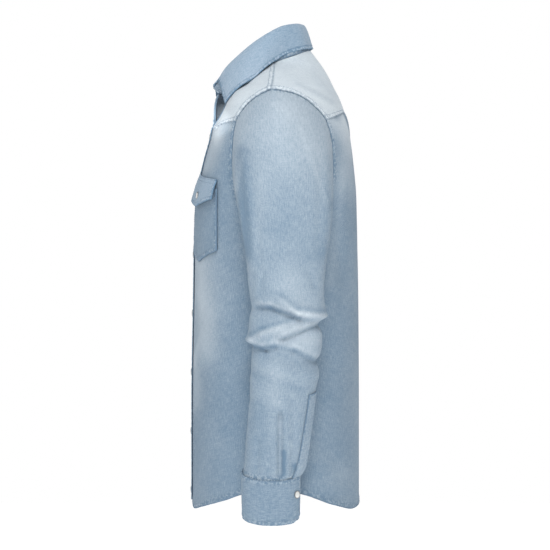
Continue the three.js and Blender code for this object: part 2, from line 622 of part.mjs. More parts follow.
// Collar: a stand on the neck seam and a leaf that folds over it. Each row is a place round the
// neck, 180 at the centre back: the top of the fold and the leaf's outer edge
const COLLAR = [
  { a: 24, foldX: 42, foldY: -91, foldZ: -26, edgeX: 100, edgeY: -77, edgeZ: -67 },
  { a: 35, foldX: 52, foldY: -80, foldZ: -9, edgeX: 109, edgeY: -68, edgeZ: -54 },
  { a: 50, foldX: 61, foldY: -58, foldZ: 12, edgeX: 113, edgeY: -55, edgeZ: -40 },
  { a: 70, foldX: 66, foldY: -32, foldZ: 33, edgeX: 110, edgeY: -36, edgeZ: -26 },
  { a: 90, foldX: 66, foldY: -12, foldZ: 46, edgeX: 99, edgeY: -12, edgeZ: -3 },
  { a: 120, foldX: 56, foldY: 13, foldZ: 59, edgeX: 80, edgeY: 14, edgeZ: 12 },
  { a: 150, foldX: 31, foldY: 34, foldZ: 64.5, edgeX: 46, edgeY: 49, edgeZ: 24 },
  { a: 180, foldX: 0, foldY: 42, foldZ: 66, edgeX: 0, edgeY: 63, edgeZ: 29 },
];
const collar = Object.fromEntries(['foldX', 'foldY', 'foldZ', 'edgeX', 'edgeY', 'edgeZ']
  .map((name) => [name, column(COLLAR, 'a', name)]));
const COLLAR_COLUMNS = 13;
const STAND_DROP = 6;          // from the fold down to the top of the stand
const LEAF_ROWS = [0.12, 0.35, 0.62, 0.85, 1];
function collarPlace(side, a) {
  const fold = new THREE.Vector3(side * collar.foldX(a), collar.foldY(a), collar.foldZ(a));
  const edge = new THREE.Vector3(side * collar.edgeX(a), collar.edgeY(a), collar.edgeZ(a));
  const seat = onBody(side, a, neckAt(a));
  if (side < 0) {
    const toFront = 1 - smooth(clamp01((a - 12) / 60));
    fold.y -= 9 * toFront;
    edge.y -= 18 * toFront;
  }
  return { fold, edge, seat };
}
const leftNeck = steps(24, 180, COLLAR_COLUMNS).map((a) => ({ side: 1, a }));
const rightNeck = steps(180, 14, COLLAR_COLUMNS).slice(1).map((a) => ({ side: -1, a }));
const neckPlaces = [...leftNeck, ...rightNeck].map(({ side, a }) => collarPlace(side, a));
const standTop = ({ fold }) => fold.clone().add(new THREE.Vector3(0, 0, -STAND_DROP));
const standFoot = ({ seat }) => seat.clone().add(new THREE.Vector3(0, 0, SEAM + 1.5 * SAG));
const stand = steps(0, 1, 3).map((t) => neckPlaces.map((place) => standFoot(place).lerp(standTop(place), t)));
add('collar_stand', gridWall(stand, FOLDED, { outwards: 1 }));

function leafRow(t) {
  return neckPlaces.map((place) => {
    const { fold, edge } = place;
    if (t === 0) return standTop(place).add(new THREE.Vector3(0, 0, SEAM + 4 * SAG));
    const out = edge.clone().sub(fold).setZ(0).normalize();
    const crown = fold.clone().addScaledVector(out, 9).add(new THREE.Vector3(0, 0, 5));
    const near = fold.clone().lerp(crown, t);
    return near.lerp(crown.lerp(edge, t), t);
  });
}
add('collar', gridWall([0, ...LEAF_ROWS].map(leafRow), FOLDED, { outwards: 1 }));

for (const side of [1, -1]) {
  const hand = side > 0 ? 'left' : 'right';
  const middle = { z: mix(FLAP.point, (FLAP.topInner + FLAP.topOuter) / 2, 1 / FLAP.rows) };
  middle.a = mix(angleAtX(POCKET.inner, middle.z), angleAtY(POCKET.outerY, middle.z), 0.5);
  const normal = bodyNormal(side, middle.a, middle.z);
  const onFlap = onBody(side, middle.a, middle.z).addScaledVector(normal, FLAP_LIFT[1] + 0.3);
  snap(`${hand}_flap_snap`, onFlap, normal);
  const wrist = onCuff(side, CUFF_START + 11, CUFF_HEIGHT * 0.36);
  const ahead = onCuff(side, CUFF_START + 13, CUFF_HEIGHT * 0.36).sub(wrist);
  const below = onCuff(side, CUFF_START + 11, CUFF_HEIGHT * 0.4).sub(wrist);
  const outwards = ahead.cross(below).normalize().multiplyScalar(side);
  snap(`${hand}_cuff_snap`, wrist.clone().addScaledVector(outwards, 0.2), outwards);
}
for (let i = 0; i < SNAP_COUNT; i += 1) {
  const z = SNAP_TOP - i * SNAP_STEP;
  const below = onFront(1, 0.01, z - 5);
  const above = onFront(1, 0.01, z + 5);
  const normal = new THREE.Vector3(1, 0, 0).cross(above.clone().sub(below)).normalize();
  snap(`snap_${i + 1}`, onFront(1, 0.01, z).addScaledVector(normal, SEAM + SAG + BAND), normal);
}

export default shirt;
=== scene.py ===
# %% [markdown]
# A denim shirt, filled out as if worn. The imported model holds the real pieces as plain walls. This
# lesson dresses each of them as cloth: a fine grid is bent onto the same curves, then it gets its
# seams, puckers, stitches and a faded denim made from nodes. The frame is loaded first. Nothing here
# may grow past it.

# %% Load the frame
import math

import bmesh
import bpy
import numpy as np
from mathutils import Matrix, Vector


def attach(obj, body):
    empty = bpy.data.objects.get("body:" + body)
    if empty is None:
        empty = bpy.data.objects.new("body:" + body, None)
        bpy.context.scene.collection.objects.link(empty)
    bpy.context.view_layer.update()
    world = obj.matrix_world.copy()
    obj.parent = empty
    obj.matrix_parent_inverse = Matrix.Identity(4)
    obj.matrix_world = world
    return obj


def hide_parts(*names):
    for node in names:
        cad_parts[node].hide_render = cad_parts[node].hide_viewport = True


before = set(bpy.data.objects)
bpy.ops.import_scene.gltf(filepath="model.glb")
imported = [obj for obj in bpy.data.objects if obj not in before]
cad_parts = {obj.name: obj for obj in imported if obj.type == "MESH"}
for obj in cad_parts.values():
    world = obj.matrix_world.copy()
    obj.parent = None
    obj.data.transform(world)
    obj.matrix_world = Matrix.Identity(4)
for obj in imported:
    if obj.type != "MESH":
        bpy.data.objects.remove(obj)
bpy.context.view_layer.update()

# %% [markdown]
# A shirt photographed from the side at some distance shows almost no perspective, so the camera is a
# long lens four metres away, level with the middle of the shirt and looking at the wearer's left.

# %% Camera
CAMERA_AWAY = 4.0
CAMERA_HEIGHT = -0.334
FRAME_WIDTH = 0.88          # metres across the picture at the shirt's middle
SENSOR = 36.0

camera_data = bpy.data.cameras.new("camera")
camera_data.sensor_width = SENSOR
camera_data.lens = SENSOR * CAMERA_AWAY / FRAME_WIDTH
camera_data.clip_end = 60.0
camera = bpy.data.objects.new("camera", camera_data)
camera.location = (CAMERA_AWAY, 0.0, CAMERA_HEIGHT)
camera.rotation_euler = (math.radians(90.0), 0.0, math.radians(90.0))
bpy.context.scene.collection.objects.link(camera)
bpy.context.scene.camera = camera
print("lens in millimetres:", round(camera_data.lens, 1))

# %% [markdown]
# The body of the shirt is a stack of level sections, each a rounded box with its own width and
# depths. A smooth curve through each column of the table gives the sections between. The angle
# runs from 0 at the centre front to 180 at the centre back, and all sizes are in millimetres.

# %% Body sections
MM = 0.001
SEAM = 0.3
SAG = 0.4
CLOTH = 1.4
FOLDED = 2.0
BAND = 1.6
BAND_WIDTH = 32.0
SNAP_TOP = -113.0
SNAP_STEP = 94.0
SNAP_COUNT = 7
HEM_SIDE = -659.0

BODY = {
    "z": (30, 24, 12, 0, -20, -35, -51, -70, -95, -113, -134, -150, -214, -261, -374, -540, -720),
    "half": (54, 60, 69, 77, 131, 172, 213, 217, 214, 210, 207, 204, 196, 191, 190, 196, 203),
    "front": (38, 42, 49, 58, 82, 92, 98, 99, 99, 101, 106.5, 111, 124, 126.5, 128.5, 131, 131),
    "back": (53, 57, 66, 75, 87, 94, 102, 109, 116, 119, 122, 124, 130, 131, 133, 134, 134),
    "square_front": (1.6, 1.5, 1.4, 1.3, 1.12, 1.15, 1.5, 1.95, 2.3, 2.45, 2.5, 2.5, 2.4, 2.35,
                     2.3, 2.25, 2.25),
    "square_back": (2.0, 2.0, 2.0, 1.9, 1.6, 1.7, 1.9, 2.2, 2.5, 2.7, 2.7, 2.7, 2.5, 2.4, 2.3,
                    2.25, 2.25),
}
ARMHOLE = {
    "turn": (0, 20, 40, 60, 80, 100, 120, 140, 160, 180, 200, 220, 240, 260, 280, 300, 320, 340, 360),
    "y": (-5, -28, -48, -59.5, -64, -65.5, -61, -50, -28, 5, 37, 64, 82, 89, 88, 78, 61, 33, -5),
    "z": (-51, -62, -80, -99, -128, -162, -197, -229, -252, -261, -255, -237, -210, -178, -140,
          -97, -77, -59, -51),
}


def smooth(t):
    t = np.clip(t, 0.0, 1.0)
    return t * t * (3.0 - 2.0 * t)


def column(table, key, name):
    """A smooth curve through one column, which never overshoots its rows."""
    order = np.argsort(table[key])
    x = np.array(table[key], float)[order]
    y = np.array(table[name], float)[order]
    slope = np.diff(y) / np.diff(x)
    tangent = np.zeros(len(x))
    tangent[0], tangent[-1] = slope[0], slope[-1]
    same = slope[:-1] * slope[1:] > 0
    total = np.where(same, slope[:-1] + slope[1:], 1.0)
    tangent[1:-1] = np.where(same, 2.0 * slope[:-1] * slope[1:] / total, 0.0)

    def curve(at):
        value = np.clip(np.asarray(at, float), x[0], x[-1])
        i = np.clip(np.searchsorted(x, value, side="left") - 1, 0, len(x) - 2)
        h = x[i + 1] - x[i]
        t = (value - x[i]) / h
        here = (1 + 2 * t) * (1 - t) ** 2 * y[i] + t * t * (3 - 2 * t) * y[i + 1]
        return here + h * (t * (1 - t) ** 2 * tangent[i] + t * t * (t - 1) * tangent[i + 1])
    return curve


body = {name: column(BODY, "z", name) for name in BODY if name != "z"}
armhole_y = column(ARMHOLE, "turn", "y")
armhole_z = column(ARMHOLE, "turn", "z")


def body_radius(angle, z):
    """Distance from the upright axis to the cloth."""
    s = np.abs(np.sin(np.radians(angle)))
    c = np.cos(np.radians(angle))
    depth = np.where(c > 0, body["front"](z), body["back"](z))
    n = np.where(c > 0, body["square_front"](z), body["square_back"](z))
    return 1.0 / ((s / body["half"](z)) ** n + (np.abs(c) / depth) ** n) ** (1.0 / n)


# %% [markdown]
# Denim creases in soft troughs. Each row of a table is one crease: where it starts, where it ends,
# its depth and its width. The body's rows give a place as an angle and a height, the sleeve's as a
# distance from the middle, seen from the side, and a height. A negative depth is a ridge.

# %% Creases and the open neck
BODY_FOLDS = (
    (22, -400, 62, -440, 3.0, 28), (34, -520, 78, -560, 3.0, 30), (118, -215, 128, -330, 5.0, 20),
    (140, -330, 110, -460, 4.0, 24), (150, -520, 120, -600, 3.0, 26),
)
FINE_FOLDS = (
    (116, -92, 132, -78, 1.6, 9), (62, -120, 48, -160, 1.5, 12), (30, -335, 70, -372, 1.6, 12),
    (14, -470, 44, -500, 1.3, 14), (100, -540, 126, -640, 1.6, 14), (152, -150, 168, -230, 1.6, 16),
    (166, -300, 140, -380, 1.8, 15), (60, -600, 82, -640, 1.5, 12), (132, -420, 160, -452, 1.2, 12),
)
SLEEVE_FOLDS = (
    (-30, -383, 40, -399, 7.0, 8), (5, -371, 78, -398, -4.0, 8), (-42, -433, 40, -402, -4.0, 9),
    (10, -428, 74, -409, 6.0, 8), (-40, -441, 68, -464, 6.0, 8), (-20, -460, 60, -485, -3.0, 10),
    (8, -640, 8, -540, 5.0, 6),
)
FINE_SLEEVE_FOLDS = (
    (-36, -150, -46, -330, 1.8, 7), (44, -110, 86, -225, 2.6, 7), (0, -150, -2, -300, 1.0, 16),
    (-27, -383, -7, -383, 2.8, 3.2), (-7, -383, 37, -398, 3.4, 3.2), (37, -401, 74, -403, 2.6, 3.2),
    (9, -370, 34, -391, -2.6, 4), (34, -391, 76, -395, -3.0, 4), (-40, -431, -19, -420, -2.2, 3.4),
    (-19, -420, 37, -403, -3.0, 3.6), (-38, -439, -19, -444, 3.4, 3), (-19, -444, 0, -440, 2.6, 3.4),
    (12, -428, 70, -408, 3.2, 3.6), (0, -440, 30, -446, 2.6, 4), (30, -446, 64, -464, 2.8, 4),
    (-30, -480, 40, -503, 1.6, 8), (-38, -520, 10, -540, 1.0, 8), (30, -618, 26, -520, 1.6, 5),
    (-28, -622, -26, -575, 1.6, 5), (-10, -626, -8, -590, 1.4, 4), (26, -628, 25, -596, 1.5, 4),
    (8, -634, 8, -530, 2.4, 3.2), (3, -630, 1, -560, -1.0, 3.5), (-34, -334, -38, -372, 1.6, 6),
    (-18, -330, -24, -360, 1.0, 5), (52, -330, 60, -352, 1.4, 6), (-20, -200, -24, -320, 0.8, 7),
    (56, -150, 66, -300, 0.9, 7), (-36, -560, -38, -500, 0.9, 6),
)
OPENING = {
    "z": (-113, -104, -95, -80, -70, -58, -46, -30, 0),
    "pull": (0, 0, 6, 17, 22, 24, 18, 6, 0),
    "left": (-15, -6, 4, 18, 25, 31, 36, 40, 40),
    "right": (14, -13, -14, -15, -17, -19, -20, -20, -20),
}
open_pull = column(OPENING, "z", "pull")
left_edge = column(OPENING, "z", "left")
right_edge = column(OPENING, "z", "right")
PULL_REACH = 190.0
RIGHT_FOLD_SHIFT = 14.0      # the right half's folds lie lower, so the halves aren't mirror images
RIGHT_SLEEVE_SHIFT = 9.0     # and those of its sleeve lie higher
DEGREE_WIDTH = 2.6           # millimetres that one degree covers round the body


def crease_depth(folds, first, z, across):
    depth = np.zeros(np.broadcast(first, z).shape)
    for from_first, from_z, to_first, to_z, deep, width in folds:
        dx = (to_first - from_first) * across
        dz = to_z - from_z
        px = (first - from_first) * across
        pz = z - from_z
        t = np.clip((px * dx + pz * dz) / (dx * dx + dz * dz), 0.0, 1.0)
        away = np.hypot(px - t * dx, pz - t * dz)
        depth = depth + deep * np.exp(-((away / width) ** 2))
    return depth


def on_body(side, angle, z, fine=True):
    """A point of the body's outer face: side 1 is the wearer's left, -1 the right."""
    shift = RIGHT_FOLD_SHIFT if side < 0 else 0.0
    crease = crease_depth(BODY_FOLDS, angle, z + shift, DEGREE_WIDTH)
    if fine:
        small = crease_depth(FINE_FOLDS, angle, z + 2 * shift, DEGREE_WIDTH)
        crease = crease + small * smooth((-60 - z) / 40)
    keep = smooth((np.abs(angle - 90) - 4) / 14) * smooth((angle - 9) / 10) * smooth((180 - angle) / 12)
    r = body_radius(angle, z) - crease * keep * smooth((-140 - z) / 60 + (0.5 if fine else 0.0))
    x = r * np.sin(np.radians(angle))
    y = -r * np.cos(np.radians(angle))
    if side > 0:
        near = 1.0 - smooth(x / PULL_REACH)
        pull = open_pull(z) * near * smooth((88 - angle) / 30)
        y = y + np.where((angle < 90) & (z > SNAP_TOP), pull, 0.0)
    return np.stack([side * x, y, np.broadcast_to(z, x.shape)], axis=-1)


def angle_at_x(x, z):
    """Angle of the cloth at a distance x to the side of the centre front."""
    x, z = np.broadcast_arrays(np.asarray(x, float), np.asarray(z, float))
    low = np.full(x.shape, 0.02)
    high = np.full(x.shape, 90.0)
    for _ in range(30):
        middle = (low + high) / 2
        inside = body_radius(middle, z) * np.sin(np.radians(middle)) < x
        low = np.where(inside, middle, low)
        high = np.where(inside, high, middle)
    return low


def angle_at_y(y, z):
    """Angle of the cloth at a place seen from the side."""
    depth = np.where(y < 0, body["front"](z), body["back"](z))
    n = np.where(y < 0, body["square_front"](z), body["square_back"](z))
    x = body["half"](z) * (1 - (np.abs(y) / depth) ** n) ** (1 / n)
    return np.degrees(np.arctan2(x, -y))


# %% [markdown]
# Every cut piece is a patch of that body between four edges, so neighbours share their seam
# exactly. The edges are functions of a row or column number, which may fall between two rows.

# %% Edges of the cut pieces
HEM = {"a": (0, 12, 26, 45, 65, 77, 90, 103, 119, 140, 180),
       "z": (-691, -697, -701, -694, -680, -667, HEM_SIDE, -669, -687, -698, -692)}
NECKLINE = {"a": (0, 24, 36, 48, 68, 80, 90, 110, 135, 155, 180),
            "z": (-43, -43.5, -40, -34, -17, -7, 0, 9, 18, 22.5, 24)}
FRONT_YOKE = {"a": (0, 22, 46, 56, 73), "z": (-93, -95, -106, -102, -99)}
BACK_YOKE = {"a": (113, 128, 145, 160, 180), "z": (-97, -86, -80, -90, -112)}
hem_at = column(HEM, "a", "z")
neck_at = column(NECKLINE, "a", "z")
front_yoke_at = column(FRONT_YOKE, "a", "z")
back_yoke_at = column(BACK_YOKE, "a", "z")
FRONT_YOKE_TURN, BACK_YOKE_TURN, ARMPIT_TURN, TURN = 60.0, 300.0, 180.0, 10.0
FRONT_COLUMNS, NECK_COLUMNS, SIDE_ROWS = 8, 5, 7
BACK_COLUMNS = FRONT_COLUMNS + NECK_COLUMNS
ARM_ROWS = 12                # rows along the armhole below a yoke seam
YOKE_ROWS = 6
UNDER_BAND = 17.0
ARMPIT_Z = -261.0


def pair(a, z):
    return np.stack(np.broadcast_arrays(np.asarray(a, float), np.asarray(z, float)), axis=-1)


def mix(a, b, t):
    return a + (b - a) * t


def armhole_place(turn):
    return pair(angle_at_y(armhole_y(turn), armhole_z(turn)), armhole_z(turn))


def side_then_armhole(i, away):
    """Up the side seam, then up the armhole, to the front (away -1) or the back (1)."""
    t = np.clip(i / SIDE_ROWS, 0.0, 1.0)
    armpit = armhole_place(ARMPIT_TURN)
    seam = pair(mix(90.0, armpit[0], t), mix(HEM_SIDE, armpit[1], t))
    turn = ARMPIT_TURN + away * TURN * np.clip(i - SIDE_ROWS, 0, ARM_ROWS)
    return np.where((i > SIDE_ROWS)[..., None], armhole_place(turn), seam)


def front_edge(side, z):
    beside = smooth((z - SNAP_TOP + 14) / 14)
    under = mix(UNDER_BAND, BAND_WIDTH + 3 * SEAM, beside)
    x = left_edge(z) + under if side > 0 else np.maximum(2.0, 3.0 - right_edge(z))
    return angle_at_x(x, z)


def yoke_start(side):
    a = front_edge(side, front_yoke_at(20.0))
    return a, front_yoke_at(a)


def neck_corner(side):
    a = front_edge(side, neck_at(0.0))
    for _ in range(6):
        a = front_edge(side, neck_at(a))
    return a, neck_at(a)


def front_yoke_seam(side, j):
    start = yoke_start(side)[0]
    end = armhole_place(FRONT_YOKE_TURN)
    a = mix(start, end[0], j / FRONT_COLUMNS)
    return pair(a, front_yoke_at(a) + (end[1] + 99.0) * np.clip(a / 73.0, 0, 1))


def front_panel_edges(side):
    first = front_edge(side, -700.0)

    def bottom(j):
        a = mix(first, 90.0, j / FRONT_COLUMNS)
        return pair(a, hem_at(a))

    def left(i):
        low = mix(hem_at(first), ARMPIT_Z, i / SIDE_ROWS)
        high = mix(ARMPIT_Z, yoke_start(side)[1], (i - SIDE_ROWS) / ARM_ROWS)
        z = np.where(i <= SIDE_ROWS, low, high)
        return pair(front_edge(side, z), z)
    return bottom, lambda j: front_yoke_seam(side, j), left, lambda i: side_then_armhole(i, -1)


def front_yoke_edges(side):
    start = yoke_start(side)
    corner = neck_corner(side)
    end = armhole_place(0.0)

    def left(i):
        z = mix(start[1], corner[1], i / 2)
        a = mix(corner[0], 90.0, (i - 2) / (YOKE_ROWS - 2))
        along_edge = pair(front_edge(side, z), z)
        return np.where((i < 2)[..., None], along_edge, pair(a, neck_at(a)))

    def top(j):
        t = j / FRONT_COLUMNS
        return pair(mix(90.0, end[0], t), mix(0.0, end[1], t))
    return (lambda j: front_yoke_seam(side, j), top, left,
            lambda i: armhole_place(FRONT_YOKE_TURN - TURN * i))


def back_panel_edges():
    top_corner = armhole_place(BACK_YOKE_TURN)

    def top(j):
        a = mix(top_corner[0], 180.0, j / BACK_COLUMNS)
        return pair(a, back_yoke_at(a))

    def bottom(j):
        a = mix(90.0, 180.0, j / BACK_COLUMNS)
        return pair(a, hem_at(a))

    def middle(i):
        low = mix(hem_at(180.0), ARMPIT_Z, i / SIDE_ROWS)
        high = mix(ARMPIT_Z, back_yoke_at(180.0), (i - SIDE_ROWS) / ARM_ROWS)
        return pair(180.0, np.where(i <= SIDE_ROWS, low, high))
    return bottom, top, lambda i: side_then_armhole(i, 1), middle


def back_yoke_edges():
    bottom = back_panel_edges()[1]
    end = armhole_place(360.0)

    def top(j):
        t = np.clip(j / FRONT_COLUMNS, 0, 1)
        a = mix(90.0, 180.0, np.clip((j - FRONT_COLUMNS) / NECK_COLUMNS, 0, 1))
        shoulder = pair(mix(end[0], 90.0, t), mix(end[1], 0.0, t))
        return np.where((j > FRONT_COLUMNS)[..., None], pair(a, neck_at(a)), shoulder)

    def middle(i):
        return pair(180.0, mix(back_yoke_at(180.0), neck_at(180.0), i / YOKE_ROWS))
    return bottom, top, lambda i: armhole_place(BACK_YOKE_TURN + TURN * i), middle


def patch(edges, columns, rows):
    """Blends four edges over a grid of column and row numbers."""
    bottom, top, left, right = edges
    j, i = np.meshgrid(columns, rows)
    last_j, last_i = columns[-1], rows[-1]
    u = (j / last_j)[..., None]
    v = (i / last_i)[..., None]
    ends = [np.array([float(n)]) for n in (0, last_j)]
    low = [bottom(n)[0] for n in ends]
    high = [top(n)[0] for n in ends]
    corners = mix(mix(low[0], low[1], u), mix(high[0], high[1], u), v)
    return mix(bottom(j), top(j), v) + mix(left(i), right(i), u) - corners


# %% [markdown]
# A sleeve starts on the armhole seam, swells over the cap and becomes a stack of ovals that hang
# nearly level. Turn 0 is its outer side, 90 the front, 180 the side by the body and 270 the back.
# The largest creases bunch at the elbow, and short ones fan out of the cuff seam.

# %% Sleeve sections
SLEEVE = {
    "z": (-290, -325, -362, -386, -405, -432, -458, -486, -532, -590, -618, -633),
    "front": (-48, -43.5, -39.5, -37.5, -39, -40.5, -35.5, -37.5, -40, -44, -46, -48.5),
    "back": (81, 76, 73.5, 75.5, 71.5, 71, 68, 64, 59, 52.5, 48, 39),
    "inner": (195, 196, 198, 199, 200, 201, 203, 205, 206, 207, 208, 208),
    "outer": (279, 281, 281, 280, 280, 279, 278, 277, 276, 275, 274, 273),
    "tilt": (0, 0.02, 0.05, 0.07, 0.09, 0.12, 0.15, 0.18, 0.24, 0.3, 0.33, 0.33),
}
CUFF = {"front": -50.5, "back": 38.0, "inner": 207.0, "outer": 274.0, "tilt": 0.33}
SLEEVE_TOP, SLEEVE_END = -290.0, -632.0
CUFF_HEIGHT, CUFF_GAP, CUFF_START, CUFF_LAP = 66.0, 0.9, 292.0, 20.0
SLIT = {"top": -508.0, "bottom": -629.0, "from": 277.0, "to": 309.0}
arm = {name: column(SLEEVE, "z", name) for name in SLEEVE if name != "z"}


def on_section(section, side, turn, z, grow=0.0):
    c = np.cos(np.radians(turn))
    s = np.sin(np.radians(turn))
    across = (section["outer"] - section["inner"]) / 2 + grow
    deep = (section["back"] - section["front"]) / 2 + grow
    x = (section["outer"] + section["inner"]) / 2 + across * c
    y = (section["back"] + section["front"]) / 2 - deep * s
    return np.stack(np.broadcast_arrays(side * x, y, z - section["tilt"] * across * c), axis=-1)


def on_sleeve(side, turn, z, fine=True):
    section = {name: curve(z) for name, curve in arm.items()}
    outer_side = smooth(0.75 + 0.9 * np.cos(np.radians(turn)))
    y = on_section(section, side, turn, z)[..., 1]
    at_z = z - (RIGHT_SLEEVE_SHIFT if side < 0 else 0.0)
    depth = crease_depth(SLEEVE_FOLDS, y, at_z, 1.0)
    if fine:
        depth = depth + crease_depth(FINE_SLEEVE_FOLDS, y, at_z, 1.0)
    depth = depth * (0.35 + 0.65 * outer_side)
    return on_section(section, side, turn, z, -depth * smooth((z - SLEEVE_END) / 14))


def unit(v):
    return v / np.maximum(np.linalg.norm(v, axis=-1, keepdims=True), 1e-9)


def cap_point(side, turn, t):
    """From the armhole seam outwards and down to the first full section."""
    place = armhole_place(turn)
    start = on_body(side, place[..., 0], place[..., 1], fine=False)
    end = on_sleeve(side, turn, np.full(turn.shape, SLEEVE_TOP))
    below = on_sleeve(side, turn, np.full(turn.shape, SLEEVE_TOP - 12))
    outer = 0.5 + 0.5 * np.cos(np.radians(turn))
    sideways, down = mix(0.35, 0.88, outer), mix(-0.95, -0.5, outer)
    leave = unit(np.stack([side * sideways, np.zeros(turn.shape), down], axis=-1))
    arrive = unit(below - end)
    reach = np.linalg.norm(end - start, axis=-1, keepdims=True)
    t = t[..., None]
    return (start * (1 + 2 * t) * (1 - t) ** 2 + end * t * t * (3 - 2 * t)
            + leave * t * (1 - t) ** 2 * reach * 1.1 + arrive * t * t * (t - 1) * reach * 1.1)


def on_cuff(side, turn, drop):
    lift = (FOLDED + 0.6) * (1 - smooth((turn - CUFF_START) / 70))
    taper = 1.6 * drop / CUFF_HEIGHT + 1.4 * smooth((drop - CUFF_HEIGHT + 8) / 8)
    return on_section(CUFF, side, turn, SLEEVE_END - CUFF_GAP - drop, lift - taper)


def on_front(side, x, z):
    """A place on the front near its middle, by its distance from the centre front."""
    angle = angle_at_x(np.abs(x), z)
    point = on_body(-1, angle, z, fine=False)
    point[..., 0] = np.sign(x) * np.abs(point[..., 0])
    if side > 0:
        pull = open_pull(z) * (1 - smooth(x / PULL_REACH))
        point[..., 1] += np.where(z > SNAP_TOP, pull, 0.0)
    return point


# %% [markdown]
# A piece of cloth starts as a flat grid from bmesh, with a column or a row added wherever a seam
# needs one. Each vertex is then moved onto its curve. The flat grid's sizes are kept as the UV map
# in metres, so the weave follows the cloth, and attributes tell the denim how far a place is from a
# sewn edge, where the painted shade of seams and sewn rows falls, and how much it has faded, which on
# the yokes and sleeves also holds painted light and shade of folds. A Solidify modifier then gives the wall.

# %% Cloth from a grid
EDGE_REACH = 14.0            # how far from a sewn edge the cloth is still puckered
SEWN_SHADE = 0.55            # depth of the painted shadow line along a sewn row, beside the seam's own as 1
STITCH = {"step": 3.3, "length": 2.3, "radius": 0.34}
pieces = {}
stitch_rows = []


def spread(count, last, dense_low=0.0, dense_high=0.0, squeeze=0.55):
    """Grid positions from 0 to last, closer together near an end that is sewn."""
    t = np.linspace(0.0, 1.0, count + 1)
    pull_low = dense_low * squeeze * t * (1 - t) ** 3 * 2
    pull_high = dense_high * squeeze * (1 - t) * t ** 3 * 2
    return (t - pull_low + pull_high) * last


def grid_normals(points, closed=False):
    if closed:
        across = np.roll(points, -1, axis=1) - np.roll(points, 1, axis=1)
    else:
        across = np.gradient(points, axis=1)
    return unit(np.cross(across, np.gradient(points, axis=0)))


def lengths(points, axis):
    step = np.linalg.norm(np.diff(points, axis=axis), axis=-1)
    start = np.zeros_like(np.take(step, [0], axis=axis))
    return np.concatenate([start, np.cumsum(step, axis=axis)], axis=axis)


def noise(seed, x, y, scale):
    """A soft random height field between -1 and 1, the same on every run."""
    rng = np.random.default_rng(seed)
    total = np.zeros(np.broadcast(x, y).shape)
    for _ in range(9):
        direction = rng.uniform(0, 2 * math.pi)
        wave = rng.uniform(0.6, 1.7) * 2 * math.pi / scale
        phase = rng.uniform(0, 2 * math.pi)
        total = total + np.sin(wave * (x * math.cos(direction) + y * math.sin(direction)) + phase)
    return total / 4.5


class Cloth:
    """A grid of points on the cloth, with its normals and its distances from each edge."""

    def __init__(self, points, closed=False, flip=False):
        self.closed = closed
        self.points = points
        self.normals = grid_normals(points, closed) * (-1.0 if flip else 1.0)
        self.flip = flip
        self.across = lengths(points, 1)
        self.up = lengths(points, 0)

    def lift(self, height):
        self.points = self.points + self.normals * np.asarray(height)[..., None]
        return self

    def distance(self, edge):
        if edge == "left":
            return self.across
        if edge == "right":
            return self.across[:, -1:] - self.across
        if edge == "bottom":
            return self.up
        return self.up[-1:, :] - self.up

    def line(self, edge, away, start=0.0, end=1.0):
        """Points and normals along a line at a distance from an edge, for a row of stitches."""
        gap = self.distance(edge)
        if edge in ("left", "right"):
            gap, points, normals = gap.T, self.points.transpose(1, 0, 2), self.normals.transpose(1, 0, 2)
        else:
            points, normals = self.points, self.normals
        if edge in ("right", "top"):
            gap, points, normals = gap[::-1], points[::-1], normals[::-1]
        count = gap.shape[1]
        chosen = range(int(start * (count - 1)), int(round(end * (count - 1))) + 1)
        line, facing = [], []
        for k in chosen:
            i = int(np.clip(np.searchsorted(gap[:, k], away) - 1, 0, len(gap) - 2))
            t = np.clip((away - gap[i, k]) / max(gap[i + 1, k] - gap[i, k], 1e-6), 0.0, 1.0)
            line.append(mix(points[i, k], points[i + 1, k], t))
            facing.append(mix(normals[i, k], normals[i + 1, k], t))
        return np.array(line), unit(np.array(facing))

    def stitch(self, edge, *distances, start=0.0, end=1.0):
        for away in distances:
            stitch_rows.append(self.line(edge, away, start, end))
        return self


def pucker(cloth, edges, seed, depth=0.35, width=9.0, ridge=0.5, dark=1.0, sewn=None):
    """Raises the folded allowance along sewn edges and puckers it between the stitches."""
    height = np.zeros(cloth.across.shape)
    closeness = np.zeros(cloth.across.shape)
    groove = np.zeros(cloth.across.shape)
    for number, edge in enumerate(edges):
        gap = cloth.distance(edge)
        along = cloth.up if edge in ("left", "right") else cloth.across
        near = 1.0 - smooth(gap / EDGE_REACH)
        waves = noise(seed + number, along, gap * 1.6, 11.0)
        height = height + near * waves * depth
        height = height + ridge * (1.0 - smooth((gap - width) / 1.6))
        closeness = np.maximum(closeness, 1.0 - smooth((gap - width * 0.5) / width))
        # The groove: darker in the fold of a seam, part dye it keeps and part painted shade; along a sewn
        # row, a painted shadow line.
        groove = np.maximum(groove, 1.0 - smooth((gap - 0.6) / 1.6))
        if sewn:
            groove = np.maximum(groove, SEWN_SHADE * (1.0 - smooth(np.abs(gap - sewn) / 1.7)))
    cloth.lift(height)
    cloth.edge = closeness
    cloth.groove = groove * dark
    return cloth


